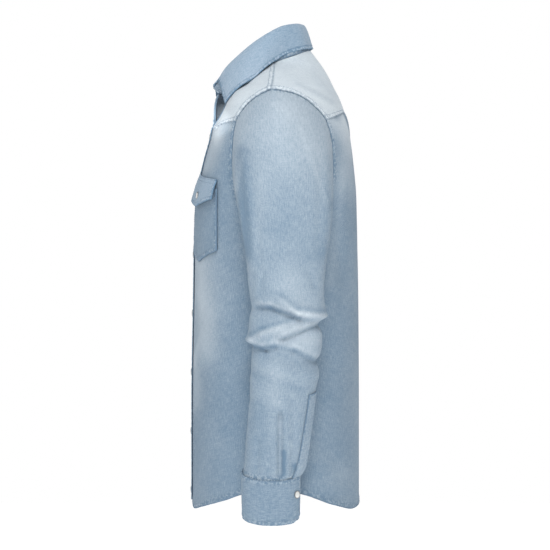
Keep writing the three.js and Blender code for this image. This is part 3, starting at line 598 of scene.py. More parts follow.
def build(name, cloth, thickness, nodes, fade_and_shade=None, turned=False, look=None):
    """Makes the object: a flat bmesh grid, its UVs and attributes, then the shape and the wall."""
    rows, columns = cloth.points.shape[:2]
    bm = bmesh.new()
    segments = columns if cloth.closed else columns - 1
    bmesh.ops.create_grid(bm, x_segments=segments, y_segments=rows - 1, size=0.5)
    bm.verts.ensure_lookup_table()
    flat = np.array([v.co[:2] for v in bm.verts]) + 0.5
    j = np.rint(flat[:, 0] * segments).astype(int)
    i = np.rint(flat[:, 1] * (rows - 1)).astype(int)
    up = cloth.up[i, j % columns]
    if cloth.closed:
        ring = np.linalg.norm(cloth.points - np.roll(cloth.points, 1, axis=1), axis=-1).mean(axis=0)
        total = np.concatenate([[0.0], np.cumsum(np.roll(ring, -1))])
        across = total[j]
    else:
        across = cloth.across[i, j]
    uv_layer = bm.loops.layers.uv.new("cloth")
    for face in bm.faces:
        for loop in face.loops:
            n = loop.vert.index
            loop[uv_layer].uv = (up[n] * MM, across[n] * MM) if turned else (across[n] * MM, up[n] * MM)
    edge_layer = bm.verts.layers.float.new("edge")
    fade_and_shade_layer = bm.verts.layers.float.new("fade_and_shade")
    groove_layer = bm.verts.layers.float.new("groove")
    # Wash fade, with painted light and shade of folds on the yokes and sleeves.
    tone = np.zeros(cloth.across.shape) if fade_and_shade is None else fade_and_shade(cloth.points)
    for vert in bm.verts:
        row, col = i[vert.index], j[vert.index] % columns
        vert[edge_layer] = cloth.edge[row, col]
        vert[groove_layer] = cloth.groove[row, col]
        vert[fade_and_shade_layer] = tone[row, col]
        vert.co = Vector(cloth.points[row, col] * MM)
    if cloth.closed:
        bmesh.ops.remove_doubles(bm, verts=bm.verts, dist=1e-6)
    if cloth.flip:
        bmesh.ops.reverse_faces(bm, faces=bm.faces)
    for face in bm.faces:
        face.smooth = True
    mesh = bpy.data.meshes.new(name)
    bm.to_mesh(mesh)
    bm.free()
    piece = bpy.data.objects.new(name, mesh)
    bpy.context.scene.collection.objects.link(piece)
    wall = piece.modifiers.new("wall", "SOLIDIFY")
    wall.thickness = thickness * MM
    wall.offset = -1.0
    wall.use_even_offset = False
    mesh.materials.append(look or denim)
    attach(piece, "root")
    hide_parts(*nodes)
    pieces[name] = cloth
    print(name, "points:", rows * columns)
    return piece


# %% [markdown]
# Shader nodes read better as sums. Value wraps one output of a node, and Python's own signs on it
# add Math nodes. Every other node comes from Graph.node, which sets a node's settings first and
# then its inputs.

# %% Shader maths
def srgb(red, green, blue):
    """A screen colour from 0 to 255 as the linear colour that shaders use."""
    values = [c / 255 for c in (red, green, blue)]
    return (*[c / 12.92 if c <= 0.04045 else ((c + 0.055) / 1.055) ** 2.4 for c in values], 1.0)


class Value:
    def __init__(self, graph, socket):
        self.graph = graph
        self.socket = socket

    def math(self, operation, first, second=0.0):
        return self.graph.node("ShaderNodeMath", {"operation": operation}, {0: first, 1: second})

    def __add__(self, other):
        return self.math("ADD", self, other)

    def __sub__(self, other):
        return self.math("SUBTRACT", self, other)

    def __rsub__(self, other):
        return self.math("SUBTRACT", other, self)

    def __mul__(self, other):
        return self.math("MULTIPLY", self, other)

    __radd__ = __add__
    __rmul__ = __mul__

    def clamp(self, low=0.0, high=1.0):
        return self.math("MINIMUM", self.math("MAXIMUM", self, low), high)

    def step(self, start, end):
        """0 before start and 1 after end, with a soft way between."""
        settings = {"interpolation_type": "SMOOTHSTEP"}
        return self.graph.node("ShaderNodeMapRange", settings, {0: self, 1: start, 2: end})

    def sine(self):
        return self.math("SINE", self)


class Graph:
    def __init__(self, name, roughness, **constants):
        self.material = bpy.data.materials.new(name)
        self.material.use_nodes = True
        self.tree = self.material.node_tree
        self.shader = self.tree.nodes["Principled BSDF"]
        self.shader.inputs["Roughness"].default_value = roughness
        for socket, value in constants.items():
            self.shader.inputs[socket.replace("_", " ")].default_value = value

    def node(self, kind, settings=None, inputs=None, output=0):
        made = self.tree.nodes.new(kind)
        for key, value in (settings or {}).items():
            setattr(made, key, value)
        for key, value in (inputs or {}).items():
            if isinstance(value, Value):
                self.tree.links.new(value.socket, made.inputs[key])
            else:
                made.inputs[key].default_value = value
        return Value(self, made.outputs[output])

    def feed(self, socket, value):
        self.tree.links.new(value.socket, self.shader.inputs[socket])

    def attribute(self, name):
        return self.node("ShaderNodeAttribute", {"attribute_name": name}, output="Fac")

    def noise(self, vector, scale, detail=3.0, roughness=0.55):
        return self.node("ShaderNodeTexNoise", None, {
            "Vector": vector, "Scale": scale, "Detail": detail, "Roughness": roughness})

    def mix_colour(self, amount, first, second):
        return self.node("ShaderNodeMix", {"data_type": "RGBA"}, {0: amount, 6: first, 7: second}, output=2)

    def bump(self, height, strength, distance):
        inputs = {"Height": height, "Strength": strength, "Distance": distance}
        return self.node("ShaderNodeBump", None, inputs)


# %% [markdown]
# Denim is a twill: blue warp threads cross white weft threads, one step aside in each row, so fine
# lines run diagonally. Washing takes the dye off where the cloth was creased or folded. Here the
# pale and the deep blue are mixed by the piece's own fade, which on the yokes and sleeves also holds
# painted light and shade of folds, by short streaks along the warp where thick threads lie, and by
# abrasion and painted light and shade on the bumps beside each seam. Seams are darker from the dye
# they keep and from painted shade, and sewn rows from a painted shadow line. The collar and the
# pocket flaps get a bluer pair of colours, which is painted shade.

# %% Denim
WORN_BASE = 0.19             # how pale the cloth is where nothing else fades it
SEAM_DYE_AND_SHADE = 0.4               # how dark seams and sewn rows get: dye kept in the seam plus painted shade, and a painted shadow line along each sewn row


def make_denim(name, deep, pale):
    g = Graph(name, 0.92, Sheen_Weight=0.08, Sheen_Roughness=0.5, Specular_IOR_Level=0.2)
    uv = g.node("ShaderNodeTexCoord", None, None, output="UV")
    parts = g.node("ShaderNodeSeparateXYZ", None, {0: uv})
    up = Value(g, parts.socket.node.outputs[1])
    warp_place = g.node("ShaderNodeCombineXYZ", None, {0: parts * 800.0, 1: up * 95.0})
    weft_place = g.node("ShaderNodeCombineXYZ", None, {0: parts * 46.0, 1: up * 820.0})
    place = g.node("ShaderNodeTexCoord", None, None, output="Object")
    warp = g.noise(warp_place, 1.0, 2.0)
    weft = g.noise(weft_place, 1.0, 2.0)
    cloud = g.noise(place, 12.0, 3.0)
    speck = g.noise(place, 560.0, 3.0, 0.6)
    twill = ((parts + up * 0.62) * 6600.0).sine()
    edge = g.attribute("edge")
    puckers = g.noise(place, 250.0, 2.0)
    # Abrasion plus painted light and shade on the puckers beside a seam: paler on the bumps, darker between
    # them.
    worn_and_shaded = edge * (puckers.step(0.42, 0.58) - 0.55) * 0.32
    mottled = (warp - 0.5) * 0.5 + (weft - 0.5) * 0.26 + (cloud - 0.5) * 0.22 + (speck - 0.5) * 0.42
    # Seams darken by kept dye and painted shade, sewn rows by a painted shadow line; the piece's fade also
    # carries painted fold light and shade.
    amount = (g.attribute("fade_and_shade") + mottled + worn_and_shaded - g.attribute("groove") * SEAM_DYE_AND_SHADE + WORN_BASE).clamp()
    g.feed("Base Color", g.mix_colour(amount, deep, pale))
    g.feed("Roughness", 0.97 - amount * 0.08)
    height = twill * 0.3 + warp * 0.6 + weft * 0.4 + speck * 0.5 + edge * puckers * 2.0
    g.feed("Normal", g.bump(height, 0.4, 0.0004))
    print("denim:", name, "nodes:", len(g.tree.nodes))
    return g.material


denim = make_denim("denim", srgb(108, 132, 153), srgb(212, 221, 227))
# A bluer pair of colours for the collar and the pocket flaps, which is painted shade.
painted_shade_denim = make_denim("bluer_painted_shade_denim", srgb(106, 136, 161), srgb(212, 224, 235))


# %% [markdown]
# The press-studs have a pearl cap in a dull metal ring. Pearl is milky with soft bands of colour
# and a clear glossy skin, which is what Coat is for. The thread is a shade paler than the cloth.

# %% Pearl, metal and thread
def make_pearl():
    g = Graph("pearl", 0.2, Coat_Weight=0.7, Coat_Roughness=0.08, Specular_IOR_Level=0.6)
    place = g.node("ShaderNodeTexCoord", None, None, output="Object")
    clouds = g.noise(place, 260.0, 3.0)
    bands = g.node("ShaderNodeTexWave", {"bands_direction": "DIAGONAL"},
                   {"Vector": place, "Scale": 120.0, "Distortion": 6.0, "Detail": 2.0}, output="Fac")
    amount = (clouds * 0.6 + bands * 0.4).clamp()
    g.feed("Base Color", g.mix_colour(amount, srgb(196, 199, 199), srgb(228, 227, 222)))
    g.feed("Roughness", 0.16 + amount * 0.12)
    return g.material


def make_snap_metal():
    g = Graph("snap_metal", 0.35, Metallic=1.0)
    place = g.node("ShaderNodeTexCoord", None, None, output="Object")
    scuffs = g.noise(place, 900.0, 3.0)
    g.feed("Base Color", g.mix_colour(scuffs, srgb(96, 98, 102), srgb(158, 160, 162)))
    g.feed("Roughness", 0.28 + scuffs * 0.3)
    return g.material


def make_thread():
    g = Graph("thread", 0.8, Sheen_Weight=0.2)
    place = g.node("ShaderNodeTexCoord", None, None, output="Object")
    fuzz = g.noise(place, 1400.0, 2.0)
    g.feed("Base Color", g.mix_colour(fuzz, srgb(88, 112, 138), srgb(136, 156, 176)))
    g.feed("Normal", g.bump(fuzz, 0.3, 0.0002))
    return g.material


pearl = make_pearl()
snap_metal = make_snap_metal()
thread = make_thread()
print("materials:", len(bpy.data.materials))


# %% [markdown]
# Years of washing leave pale places: along the top of the shoulders, down the chest and belly where
# the cloth stood out, below the back yoke and round the elbow. Each row is a soft line as it is seen
# from the side: where it starts, where it ends, its amount and its width. Negative ones are darker.
# The yoke's rows are painted light and shade of its soft folds. Among the sleeve's rows, the dark one
# along its front edge is painted shade, and the dark and pale lines at the pleat above the cuff are
# its painted shadow and highlight.

# %% Faded places, painted light and shade
BODY_FADES = (
    (-73, -75, -108, -164, 0.30, 16), (-96, -96, -92, -122, 0.30, 14), (-67, -108, -58, -112, 0.20, 7),
    (116, -90, 120, -140, 0.22, 14), (118, -120, 122, -190, 0.13, 26),
    (84, -98, 112, -104, 0.40, 11), (88, -116, 112, -122, 0.18, 12),
    (-120, -300, -114, -450, 0.36, 24), (-122, -450, -124, -540, 0.19, 12), (-84, -330, -84, -400, 0.04, 24),
    (-130, -250, -126, -300, 0.12, 16), (60, -600, 110, -640, 0.06, 16), (106, -170, 84, -350, 0.09, 8),
    (118, -110, 100, -200, 0.06, 12), (100, -650, 60, -655, 0.05, 14),
)
# Painted light and shade of the yokes' soft drag folds: negative rows darken a trough, positive ones lighten
# its ridge.
YOKE_FOLD_LIGHT_AND_SHADE = (
    (36, -42, 88, -66, -0.16, 5), (34, -50, 84, -76, 0.07, 5), (58, -20, 104, -58, -0.05, 10),
    (-50, -58, -20, -30, 0.05, 9), (-72, -84, -30, -62, -0.05, 6), (14, -20, 40, -34, -0.05, 7),
)
# Mostly fades; the dark row along the front edge is painted shade, and the dark line at the pleat above the
# cuff with the pale one beside it are its painted shadow and highlight.
SLEEVE_FADES_AND_SHADES = (
    (24, -345, 46, -395, 0.16, 26), (14, -425, 50, -430, 0.25, 19), (14, -78, 20, -84, 0.12, 22),
    (14, -120, 50, -150, 0.04, 34), (12, -396, 56, -392, 0.08, 6), (-36, -432, 10, -412, 0.12, 6),
    (0, -470, -4, -560, 0.09, 14), (-50, -150, -44, -300, -0.24, 12), (84, -160, 74, -300, -0.06, 10),
    (-30, -330, -28, -400, 0.02, 12), (-47, -150, -60, -205, 0.10, 4), (-16, -540, -22, -600, -0.05, 18),
    (-20, -190, -30, -300, 0.04, 6), (38, -112, 78, -225, 0.12, 5), (14, -200, 16, -260, -0.05, 24),
    (13, -598, 13, -632, -0.34, 3.5), (7.5, -545, 8, -632, 0.14, 2.4), (30, -620, 34, -630, -0.24, 5),
)


def plain_fade(amount):
    return lambda points: np.full(points.shape[:-1], amount)


def body_fade(points):
    """The side view's fades, which wander and grow patchy towards the middle of the body."""
    x, y, z = points[..., 0], points[..., 1], points[..., 2]
    inward = smooth((150 - np.abs(x)) / 90)
    patches = noise(3, x, z, 130.0)
    wander = 34.0 * noise(4, x, z, 190.0) * inward
    tone = crease_depth(BODY_FADES, y, z + wander, 1.0)
    return tone * (1 - inward * np.clip(0.22 - 0.34 * patches, 0.0, 0.8)) - 0.09 + 0.03 * patches * inward


def yoke_fade_and_fold_shade(points):
    # A pale wash all over, plus the painted light and shade of the drag folds.
    return 0.64 + crease_depth(YOKE_FOLD_LIGHT_AND_SHADE, points[..., 1], points[..., 2], 1.0)


def open_side_fade(points):
    """The right front yoke shows its inside through the open neck, and is less faded, so bluer, near the
    centre front.
    """
    return mix(0.06, 0.60, smooth((np.abs(points[..., 0]) - 50) / 60))


def collar_fade(points):
    return mix(0.16, 0.06, smooth((points[..., 2] + 40) / 100))


def sleeve_fade_and_shade(points):
    y, z = points[..., 1], points[..., 2]
    top = smooth((z + 300) / 230)
    # Painted shade in the crease troughs and painted light on their crests, partly also whisker wear.
    troughs = crease_depth(FINE_SLEEVE_FOLDS, y, z, 1.0)
    crests = crease_depth(FINE_SLEEVE_FOLDS, y, z - 7.0, 1.0)
    return mix(0.0, 0.18, top) + crease_depth(SLEEVE_FADES_AND_SHADES, y, z, 1.0) + 0.05 * (crests - troughs)


def cut(cloth):
    """Width, length and area in metres of the cloth before it was sewn."""
    p = cloth.points
    if cloth.closed:
        p = np.concatenate([p, p[:, :1]], axis=1)
    across, up = np.diff(p, axis=1)[:-1], np.diff(p, axis=0)[:, :-1]
    area = np.linalg.norm(np.cross(across, up), axis=-1).sum() * MM * MM
    width = np.linalg.norm(np.diff(p, axis=1), axis=-1).sum(axis=1).max() * MM
    length = np.linalg.norm(np.diff(p, axis=0), axis=-1).sum(axis=0).max() * MM
    return width, length, area


def sheet(piece, cloth):
    width, length, area = cut(cloth)
    print(piece.name, "cut:", round(width, 3), "x", round(length, 3), "m, area", round(area, 4))


# %% [markdown]
# The fronts hang from the front yokes. Each is a patch of the body with its columns closer
# together at the side seam and its rows at the hem, where the stitched folds need more points.
# The fold of a seam is pressed to one side, so only that side gets the raised ridge.

# %% Fronts and front yokes
def body_points(side, places, fine=True):
    return on_body(side, places[..., 0], places[..., 1], fine)


PANEL_ROWS = np.concatenate([spread(96, SIDE_ROWS, 1.0, 0.0), SIDE_ROWS + spread(64, ARM_ROWS, 0.0, 1.0)[1:]])
ARM_START = 96 / 160
for side, hand in ((1, "left"), (-1, "right")):
    places = patch(front_panel_edges(side), spread(84, FRONT_COLUMNS, 0.0, 1.0), PANEL_ROWS)
    front = Cloth(body_points(side, places), flip=side < 0)
    front = pucker(front, ("bottom", "right"), 10 + side, ridge=0.6)
    front.stitch("bottom", 1.6, 6.0)
    front.stitch("right", 1.8, 7.6, end=ARM_START).stitch("right", 6.4, start=ARM_START)
    piece = build(hand + "_front_cloth", front, CLOTH, [hand + "_front"], body_fade)
    sheet(piece, front)
    columns, rows = spread(76, FRONT_COLUMNS, 0.0, 1.0), spread(70, YOKE_ROWS, 1.0, 1.0)
    places = patch(front_yoke_edges(side), columns, rows)
    yoke = Cloth(body_points(side, places), flip=side < 0)
    yoke = pucker(yoke, ("bottom", "top", "right"), 20 + side, ridge=0.7, sewn=7.4)
    yoke.stitch("bottom", 1.8, 7.6).stitch("top", 1.8, 7.6).stitch("right", 6.4)
    fade_and_shade = yoke_fade_and_fold_shade if side > 0 else open_side_fade
    piece = build(hand + "_front_yoke_cloth", yoke, CLOTH, [hand + "_front_yoke"], fade_and_shade)
    sheet(piece, yoke)


# %% [markdown]
# The back is one piece from side seam to side seam, and its yoke dips to a point at the centre.
# Each is made from its left half and the mirrored places of the right half, in one grid.

# %% Back and back yoke
def whole(edges, columns, rows):
    places = patch(edges, columns, rows)
    left = body_points(1, places)
    right = body_points(-1, places)[:, ::-1]
    return Cloth(np.concatenate([left, right[:, 1:]], axis=1))


back = whole(back_panel_edges(), spread(80, BACK_COLUMNS, 1.0, 0.0), PANEL_ROWS)
back = pucker(back, ("bottom", "left", "right"), 31, ridge=0.45)
back.stitch("bottom", 1.6, 6.0).stitch("left", 6.4, start=ARM_START).stitch("right", 6.4, start=ARM_START)
sheet(build("back_cloth", back, CLOTH, ["back"], body_fade), back)
back_yoke = whole(back_yoke_edges(), spread(80, BACK_COLUMNS, 1.0, 0.0), spread(80, YOKE_ROWS, 1.0, 0.0))
back_yoke = pucker(back_yoke, ("bottom", "left", "right"), 41, ridge=0.7)
back_yoke.stitch("bottom", 1.8, 7.6).stitch("left", 6.4).stitch("right", 6.4)
sheet(build("back_yoke_cloth", back_yoke, CLOTH, ["back_yoke"], yoke_fade_and_fold_shade), back_yoke)


# %% [markdown]
# A sleeve is a closed grid, from the cuff up to the armhole. Its cuff is a folded strip that laps
# over itself at the back of the wrist, with rounded corners, and a bound strip runs up from there.

# %% Sleeves, cuffs and sleeve plackets
TURNS = 144


def rounded(t, reach, radius):
    """How far a strip's edge draws back near its end, for a rounded corner."""
    near = np.clip(1.0 - t * reach / radius, 0.0, 1.0)
    return radius * (1.0 - np.sqrt(np.clip(1.0 - near ** 2, 0.0, 1.0)))


cuffs = {}
for side, hand in ((1, "left"), (-1, "right")):
    turns = (ARMPIT_TURN + np.arange(TURNS) * 360.0 / TURNS)[None, :]
    heights = (SLEEVE_END + spread(140, SLEEVE_TOP - SLEEVE_END, 1.0, 0.0))[:, None]
    tube = on_sleeve(side, turns + 0 * heights, heights + 0 * turns)
    cap_turns = np.broadcast_to(turns % 360.0, (40, TURNS))
    cap_steps = np.broadcast_to(np.linspace(1.0, 0.0, 41)[1:, None], (40, TURNS))
    cap = cap_point(side, cap_turns, cap_steps)
    sleeve = Cloth(np.concatenate([tube, cap]), closed=True, flip=side > 0)
    sleeve = pucker(sleeve, ("top", "bottom"), 50 + side, depth=0.5, ridge=0.0)
    sheet(build(hand + "_sleeve_cloth", sleeve, CLOTH, [hand + "_sleeve"], sleeve_fade_and_shade), sleeve)

    along = np.linspace(CUFF_START, CUFF_START + 360.0 + CUFF_LAP, 170)[None, :]
    down = np.linspace(1.0, 0.0, 44)[:, None]
    strip_length = 215.0
    t = (along - along.min()) / (along.max() - along.min())
    drop = mix(-3.0, CUFF_HEIGHT - 1.0 - rounded(t, strip_length, 13.0), down)
    cuff = Cloth(on_cuff(side, along + 0 * drop, drop), flip=side > 0).lift(0.9)
    cuff = pucker(cuff, ("bottom", "top", "left"), 60 + side, depth=0.45, width=6.0, ridge=0.35, dark=0.1)
    cuff.stitch("bottom", 6.0).stitch("top", 1.8, 7.0).stitch("left", 5.0)
    cuffs[hand] = cuff
    sheet(build(hand + "_cuff_cloth", cuff, FOLDED, [hand + "_cuff"], plain_fade(-0.08), turned=True), cuff)

    z = np.linspace(SLIT["bottom"], SLIT["top"], 70)[:, None]
    lean = (SLIT["top"] - z) / (SLIT["top"] - SLIT["bottom"])
    turn = np.linspace(SLIT["from"], SLIT["to"], 18)[None, :] + 13.0 * lean
    slit = Cloth(on_sleeve(side, turn, z + 0 * turn), flip=side > 0).lift(CLOTH + 0.2)
    slit = pucker(slit, ("left", "right", "top"), 70 + side, depth=0.4, width=3.0, ridge=0.2)
    slit.stitch("left", 1.8).stitch("right", 1.8).stitch("top", 1.8, 9.0)
    piece = build(hand + "_sleeve_placket_cloth", slit, CLOTH, [hand + "_sleeve_placket"], plain_fade(0.0))
    sheet(piece, slit)


# %% [markdown]
# The outer band carries the snaps on the left front and the under band lies on the right front.
# Both follow the opening up to the neck seam, where the left one falls open.

# %% Front bands
def band(side, lift):
    corner = neck_corner(side)[1]
    low = float(hem_at(front_edge(side, -700.0)))
    z = mix(low, corner, np.linspace(0, 1, 170))[:, None]
    free = left_edge(z) if side > 0 else right_edge(z)
    sewn = free + BAND_WIDTH if side > 0 else (free - 14) * 0.6 - BAND_WIDTH / 2
    x = mix(np.minimum(free, sewn), np.maximum(free, sewn), np.linspace(0, 1, 18)[None, :])
    z = z + 0 * x
    neck = neck_at(angle_at_x(np.abs(x), z)) - 1.8
    z = np.where(np.arange(len(z))[:, None] == len(z) - 1, np.minimum(z, neck), z)
    points = on_front(side, x, z)
    strip = Cloth(points).lift(lift)
    return pucker(strip, ("left", "right", "bottom"), 80 + side, depth=0.3, width=4.0, ridge=0.2)


left_band = band(1, SEAM + SAG + BAND).stitch("left", 6.0).stitch("right", 6.0)
sheet(build("left_placket_cloth", left_band, BAND, ["left_placket"], plain_fade(0.10)), left_band)
right_band = band(-1, -CLOTH - SEAM - SAG).stitch("left", 6.0).stitch("right", 6.0)
sheet(build("right_placket_cloth", right_band, BAND, ["right_placket"], plain_fade(0.10)), right_band)


# %% [markdown]
# A western pocket ends in a shallow point and has a flap with a point of its own. The flap is sewn
# down along its top and stands off the pocket towards its point.

# %% Chest pockets and flaps
POCKET = {"inner": 38.0, "outer_y": -88.0, "corner": -297.0, "point": -313.0, "mouth": -201.0}
FLAP = {"top_inner": -174.0, "top_outer": -187.0, "corner": -217.0, "point": -227.0, "proud": 4.5}
OVER_CLOTH = SEAM + SAG + BAND
FLAP_LIFT = (2 * OVER_CLOTH + FLAP["proud"], 2 * OVER_CLOTH + FLAP["proud"] / 2, 2 * OVER_CLOTH, OVER_CLOTH)


def pocket_points(side, u, v, top, bottom, lift):
    z = mix(bottom, top, v)
    a = mix(angle_at_x(POCKET["inner"], z), angle_at_y(POCKET["outer_y"], z), u)
    return Cloth(on_body(side, a, z), flip=side < 0).lift(lift + 0 * z)


def pointed(corner, point, u):
    return mix(point, corner, np.abs(2 * u - 1))


flaps = {}
for side, hand in ((1, "left"), (-1, "right")):
    u = np.linspace(0, 1, 49)[None, :]
    v = np.linspace(0, 1, 50)[:, None]
    low_edge = pointed(POCKET["corner"], POCKET["point"], u)
    pocket = pocket_points(side, u, v, POCKET["mouth"], low_edge, OVER_CLOTH)
    pocket = pucker(pocket, ("left", "right", "bottom"), 90 + side, depth=0.5, width=7.0, ridge=0.5)
    pocket.stitch("left", 1.8, 6.5).stitch("right", 1.8, 6.5).stitch("bottom", 1.8, 6.5)
    sheet(build(hand + "_pocket_cloth", pocket, BAND, [hand + "_pocket"], plain_fade(-0.09)), pocket)
    v = np.linspace(0, 1, 26)[:, None]
    curl = 3.0 * smooth((u - 0.72) / 0.28) * smooth((1 - v) * 1.6)
    lift = np.interp(v, (0, 1 / 3, 2 / 3, 1), FLAP_LIFT) + curl
    top = mix(FLAP["top_inner"], FLAP["top_outer"], u)
    flap = pocket_points(side, u, v, top, pointed(FLAP["corner"], FLAP["point"], u), lift)
    flap = pucker(flap, ("left", "right", "bottom"), 100 + side, depth=0.3, width=6.0, ridge=0.3)
    flap.stitch("left", 5.0).stitch("right", 5.0).stitch("bottom", 5.0).stitch("top", 1.8, 7.0)
    flaps[hand] = flap
    nodes = [hand + "_pocket_flap"]
    # The flap's bluer denim is painted shade.
    piece = build(hand + "_pocket_flap_cloth", flap, BAND, nodes, plain_fade(0.10), look=painted_shade_denim)
    sheet(piece, flap)


# %% [markdown]
# The collar has a stand, which rises from the neck seam, and a leaf, which rolls over it and lies
# on the yokes down to its two points. The leaf's section is one smooth curve from the fold to its
# edge. It is open at the front, and the right side stands a little further forward.

# %% Collar
COLLAR = {
    "a": (24, 35, 50, 70, 90, 120, 150, 180),
    "fold_x": (42, 52, 61, 66, 66, 56, 31, 0), "fold_y": (-91, -80, -58, -32, -12, 13, 34, 42),
    "fold_z": (-26, -9, 12, 33, 46, 59, 64.5, 66), "edge_x": (100, 109, 113, 110, 99, 80, 46, 0),
    "edge_y": (-77, -68, -55, -36, -12, 14, 49, 63), "edge_z": (-67, -54, -40, -26, -3, 12, 24, 29),
}
collar = {name: column(COLLAR, "a", name) for name in COLLAR if name != "a"}
UP = np.array([0.0, 0.0, 1.0])


def collar_places(side, a):
    fold = np.stack([side * collar["fold_x"](a), collar["fold_y"](a), collar["fold_z"](a)], axis=-1)
    edge = np.stack([side * collar["edge_x"](a), collar["edge_y"](a), collar["edge_z"](a)], axis=-1)
    seat = on_body(side, a, neck_at(a), fine=False)
    if side < 0:
        to_front = 1 - smooth((a - 12) / 60)
        fold[:, 1] -= 9 * to_front
        edge[:, 1] -= 18 * to_front
    return fold, edge, seat


left_neck = collar_places(1, np.linspace(24, 180, 80))
right_neck = collar_places(-1, np.linspace(180, 14, 80)[1:])
fold, edge, seat = (np.concatenate(pair_of) for pair_of in zip(left_neck, right_neck))
stand_top = fold - 6.0 * UP
stand_foot = seat + (SEAM + 1.5 * SAG) * UP
t = np.linspace(0, 1, 24)[:, None, None]
stand = pucker(Cloth(mix(stand_foot, stand_top, t)), ("bottom",), 111, depth=0.3, ridge=0.0)
stand.stitch("bottom", 2.0)
sheet(build("collar_stand_cloth", stand, FOLDED, ["collar_stand"], plain_fade(0.02), turned=True), stand)

outwards = unit((edge - fold) * np.array([1.0, 1.0, 0.0]))
crown = fold + 9.0 * outwards + 5.0 * UP
t = np.linspace(0.03, 1, 52)[:, None, None]
roll = mix(mix(fold, crown, t), mix(crown, edge, t), t)


LEAF_CLEARANCE = 1.0         # left between the leaf's inner face and the yokes
SETTLE_SPAN = 21             # places round the collar that share one movement


def running_mean(values, span):
    return np.convolve(np.pad(values, span // 2, mode="edge"), np.ones(span) / span, mode="valid")


def yoke_below(points):
    """How far each point lies over the yokes, and which way the nearest cloth there faces."""
    cloths = [pieces[name] for name in ("left_front_yoke_cloth", "right_front_yoke_cloth", "back_yoke_cloth")]
    surface = np.concatenate([cloth.points.reshape(-1, 3) for cloth in cloths])
    facing = np.concatenate([cloth.normals.reshape(-1, 3) for cloth in cloths])
    nearest_ones = [int(np.argmin(((surface - p) ** 2).sum(axis=1))) for p in points]
    normal = facing[nearest_ones]
    return ((points - surface[nearest_ones]) * normal).sum(axis=-1), normal


gap, facing = yoke_below(roll[-1])
sideways = 1 - smooth((np.abs(facing[:, 0]) - 0.2) / 0.3)
way = np.stack([facing[:, 0], facing[:, 1] * sideways, facing[:, 2] * sideways], axis=-1)
settle = -way * ((gap - FOLDED - LEAF_CLEARANCE) / (way * facing).sum(axis=-1))[:, None]
print("leaf stood over the yokes by", round(float(gap.min()), 1), "to", round(float(gap.max()), 1), "mm")
settle = np.stack([running_mean(settle[:, k], SETTLE_SPAN) for k in range(3)], axis=-1)
roll = roll + settle[None] * smooth(t) ** 1.5
leaf = Cloth(np.concatenate([(stand_top + (SEAM + 4 * SAG) * UP)[None], roll]), flip=True)
leaf = pucker(leaf, ("top", "left", "right"), 121, depth=0.45, width=6.0, ridge=0.3, sewn=6.0)
leaf.stitch("top", 6.0).stitch("left", 6.0, start=0.2).stitch("right", 6.0, start=0.2)
# The collar's bluer denim is painted shade.
piece = build("collar_cloth", leaf, FOLDED, ["collar"], collar_fade, turned=True, look=painted_shade_denim)
sheet(piece, leaf)


# %% [markdown]
# A press-stud is a turned part: a thin metal ring holds a domed pearl cap. One profile spun round
# makes each, and the two are joined in one mesh with a material for the ring and one for the cap.

# %% Press-studs
def spin_profile(bm, profile, material_index):
    verts = [bm.verts.new((r * MM, 0.0, h * MM)) for r, h in profile]
    edges = [bm.edges.new(two) for two in zip(verts[:-1], verts[1:])]
    before = set(bm.faces)
    bmesh.ops.spin(bm, geom=verts + edges, cent=(0, 0, 0), axis=(0, 0, 1), angle=math.tau, steps=40,
                   use_merge=True, use_duplicate=False)
    for face in set(bm.faces) - before:
        face.material_index = material_index
        face.smooth = True


RING = ((5.9, 0.0), (6.1, 0.3), (5.95, 0.8), (5.4, 1.1), (5.0, 1.05), (4.85, 0.7), (4.85, 0.0))
CAP = ((4.95, 0.0), (4.95, 0.8), (4.8, 1.2), (4.2, 1.6), (3.1, 1.9), (1.6, 2.05), (0.0, 2.1))


def press_stud(name, node, centre, normal):
    bm = bmesh.new()
    spin_profile(bm, RING, 0)
    spin_profile(bm, CAP, 1)
    bmesh.ops.remove_doubles(bm, verts=bm.verts, dist=2e-6)
    bmesh.ops.recalc_face_normals(bm, faces=bm.faces)
    turn = Vector((0, 0, 1)).rotation_difference(Vector(normal)).to_matrix().to_4x4()
    bm.transform(Matrix.Translation(Vector(centre * MM)) @ turn)
    mesh = bpy.data.meshes.new(name)
    bm.to_mesh(mesh)
    bm.free()
    stud = bpy.data.objects.new(name, mesh)
    bpy.context.scene.collection.objects.link(stud)
    mesh.materials.append(snap_metal)
    mesh.materials.append(pearl)
    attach(stud, "root")
    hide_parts(node)


def nearest(cloth, point):
    """The place of a piece's surface closest to a point, and its normal there."""
    flat = cloth.points.reshape(-1, 3)
    n = int(np.argmin(np.linalg.norm(flat - point, axis=1)))
    return flat[n], cloth.normals.reshape(-1, 3)[n]


for number in range(SNAP_COUNT):
    z = SNAP_TOP - number * SNAP_STEP
    point = on_front(1, np.array(0.01), np.array(z))
    place, normal = nearest(left_band, point)
    point = np.array([0.0, place[1], z])
    press_stud("front_stud_" + str(number + 1), "snap_" + str(number + 1), point, normal)
print("front studs:", SNAP_COUNT)
for side, hand in ((1, "left"), (-1, "right")):
    flap_v = mix(FLAP["point"], (FLAP["top_inner"] + FLAP["top_outer"]) / 2, 1 / 3)
    middle = mix(angle_at_x(POCKET["inner"], flap_v), angle_at_y(POCKET["outer_y"], flap_v), 0.5)
    place = on_body(side, middle, np.array(flap_v))
    point, normal = nearest(flaps[hand], place)
    press_stud(hand + "_flap_stud", hand + "_flap_snap", point, normal)
    wrist = on_cuff(side, np.array(CUFF_START + 11.0), np.array(CUFF_HEIGHT * 0.36))
    point, normal = nearest(cuffs[hand], wrist)
    press_stud(hand + "_cuff_stud", hand + "_cuff_snap", point, normal)
print("studs in all:", SNAP_COUNT + 4)


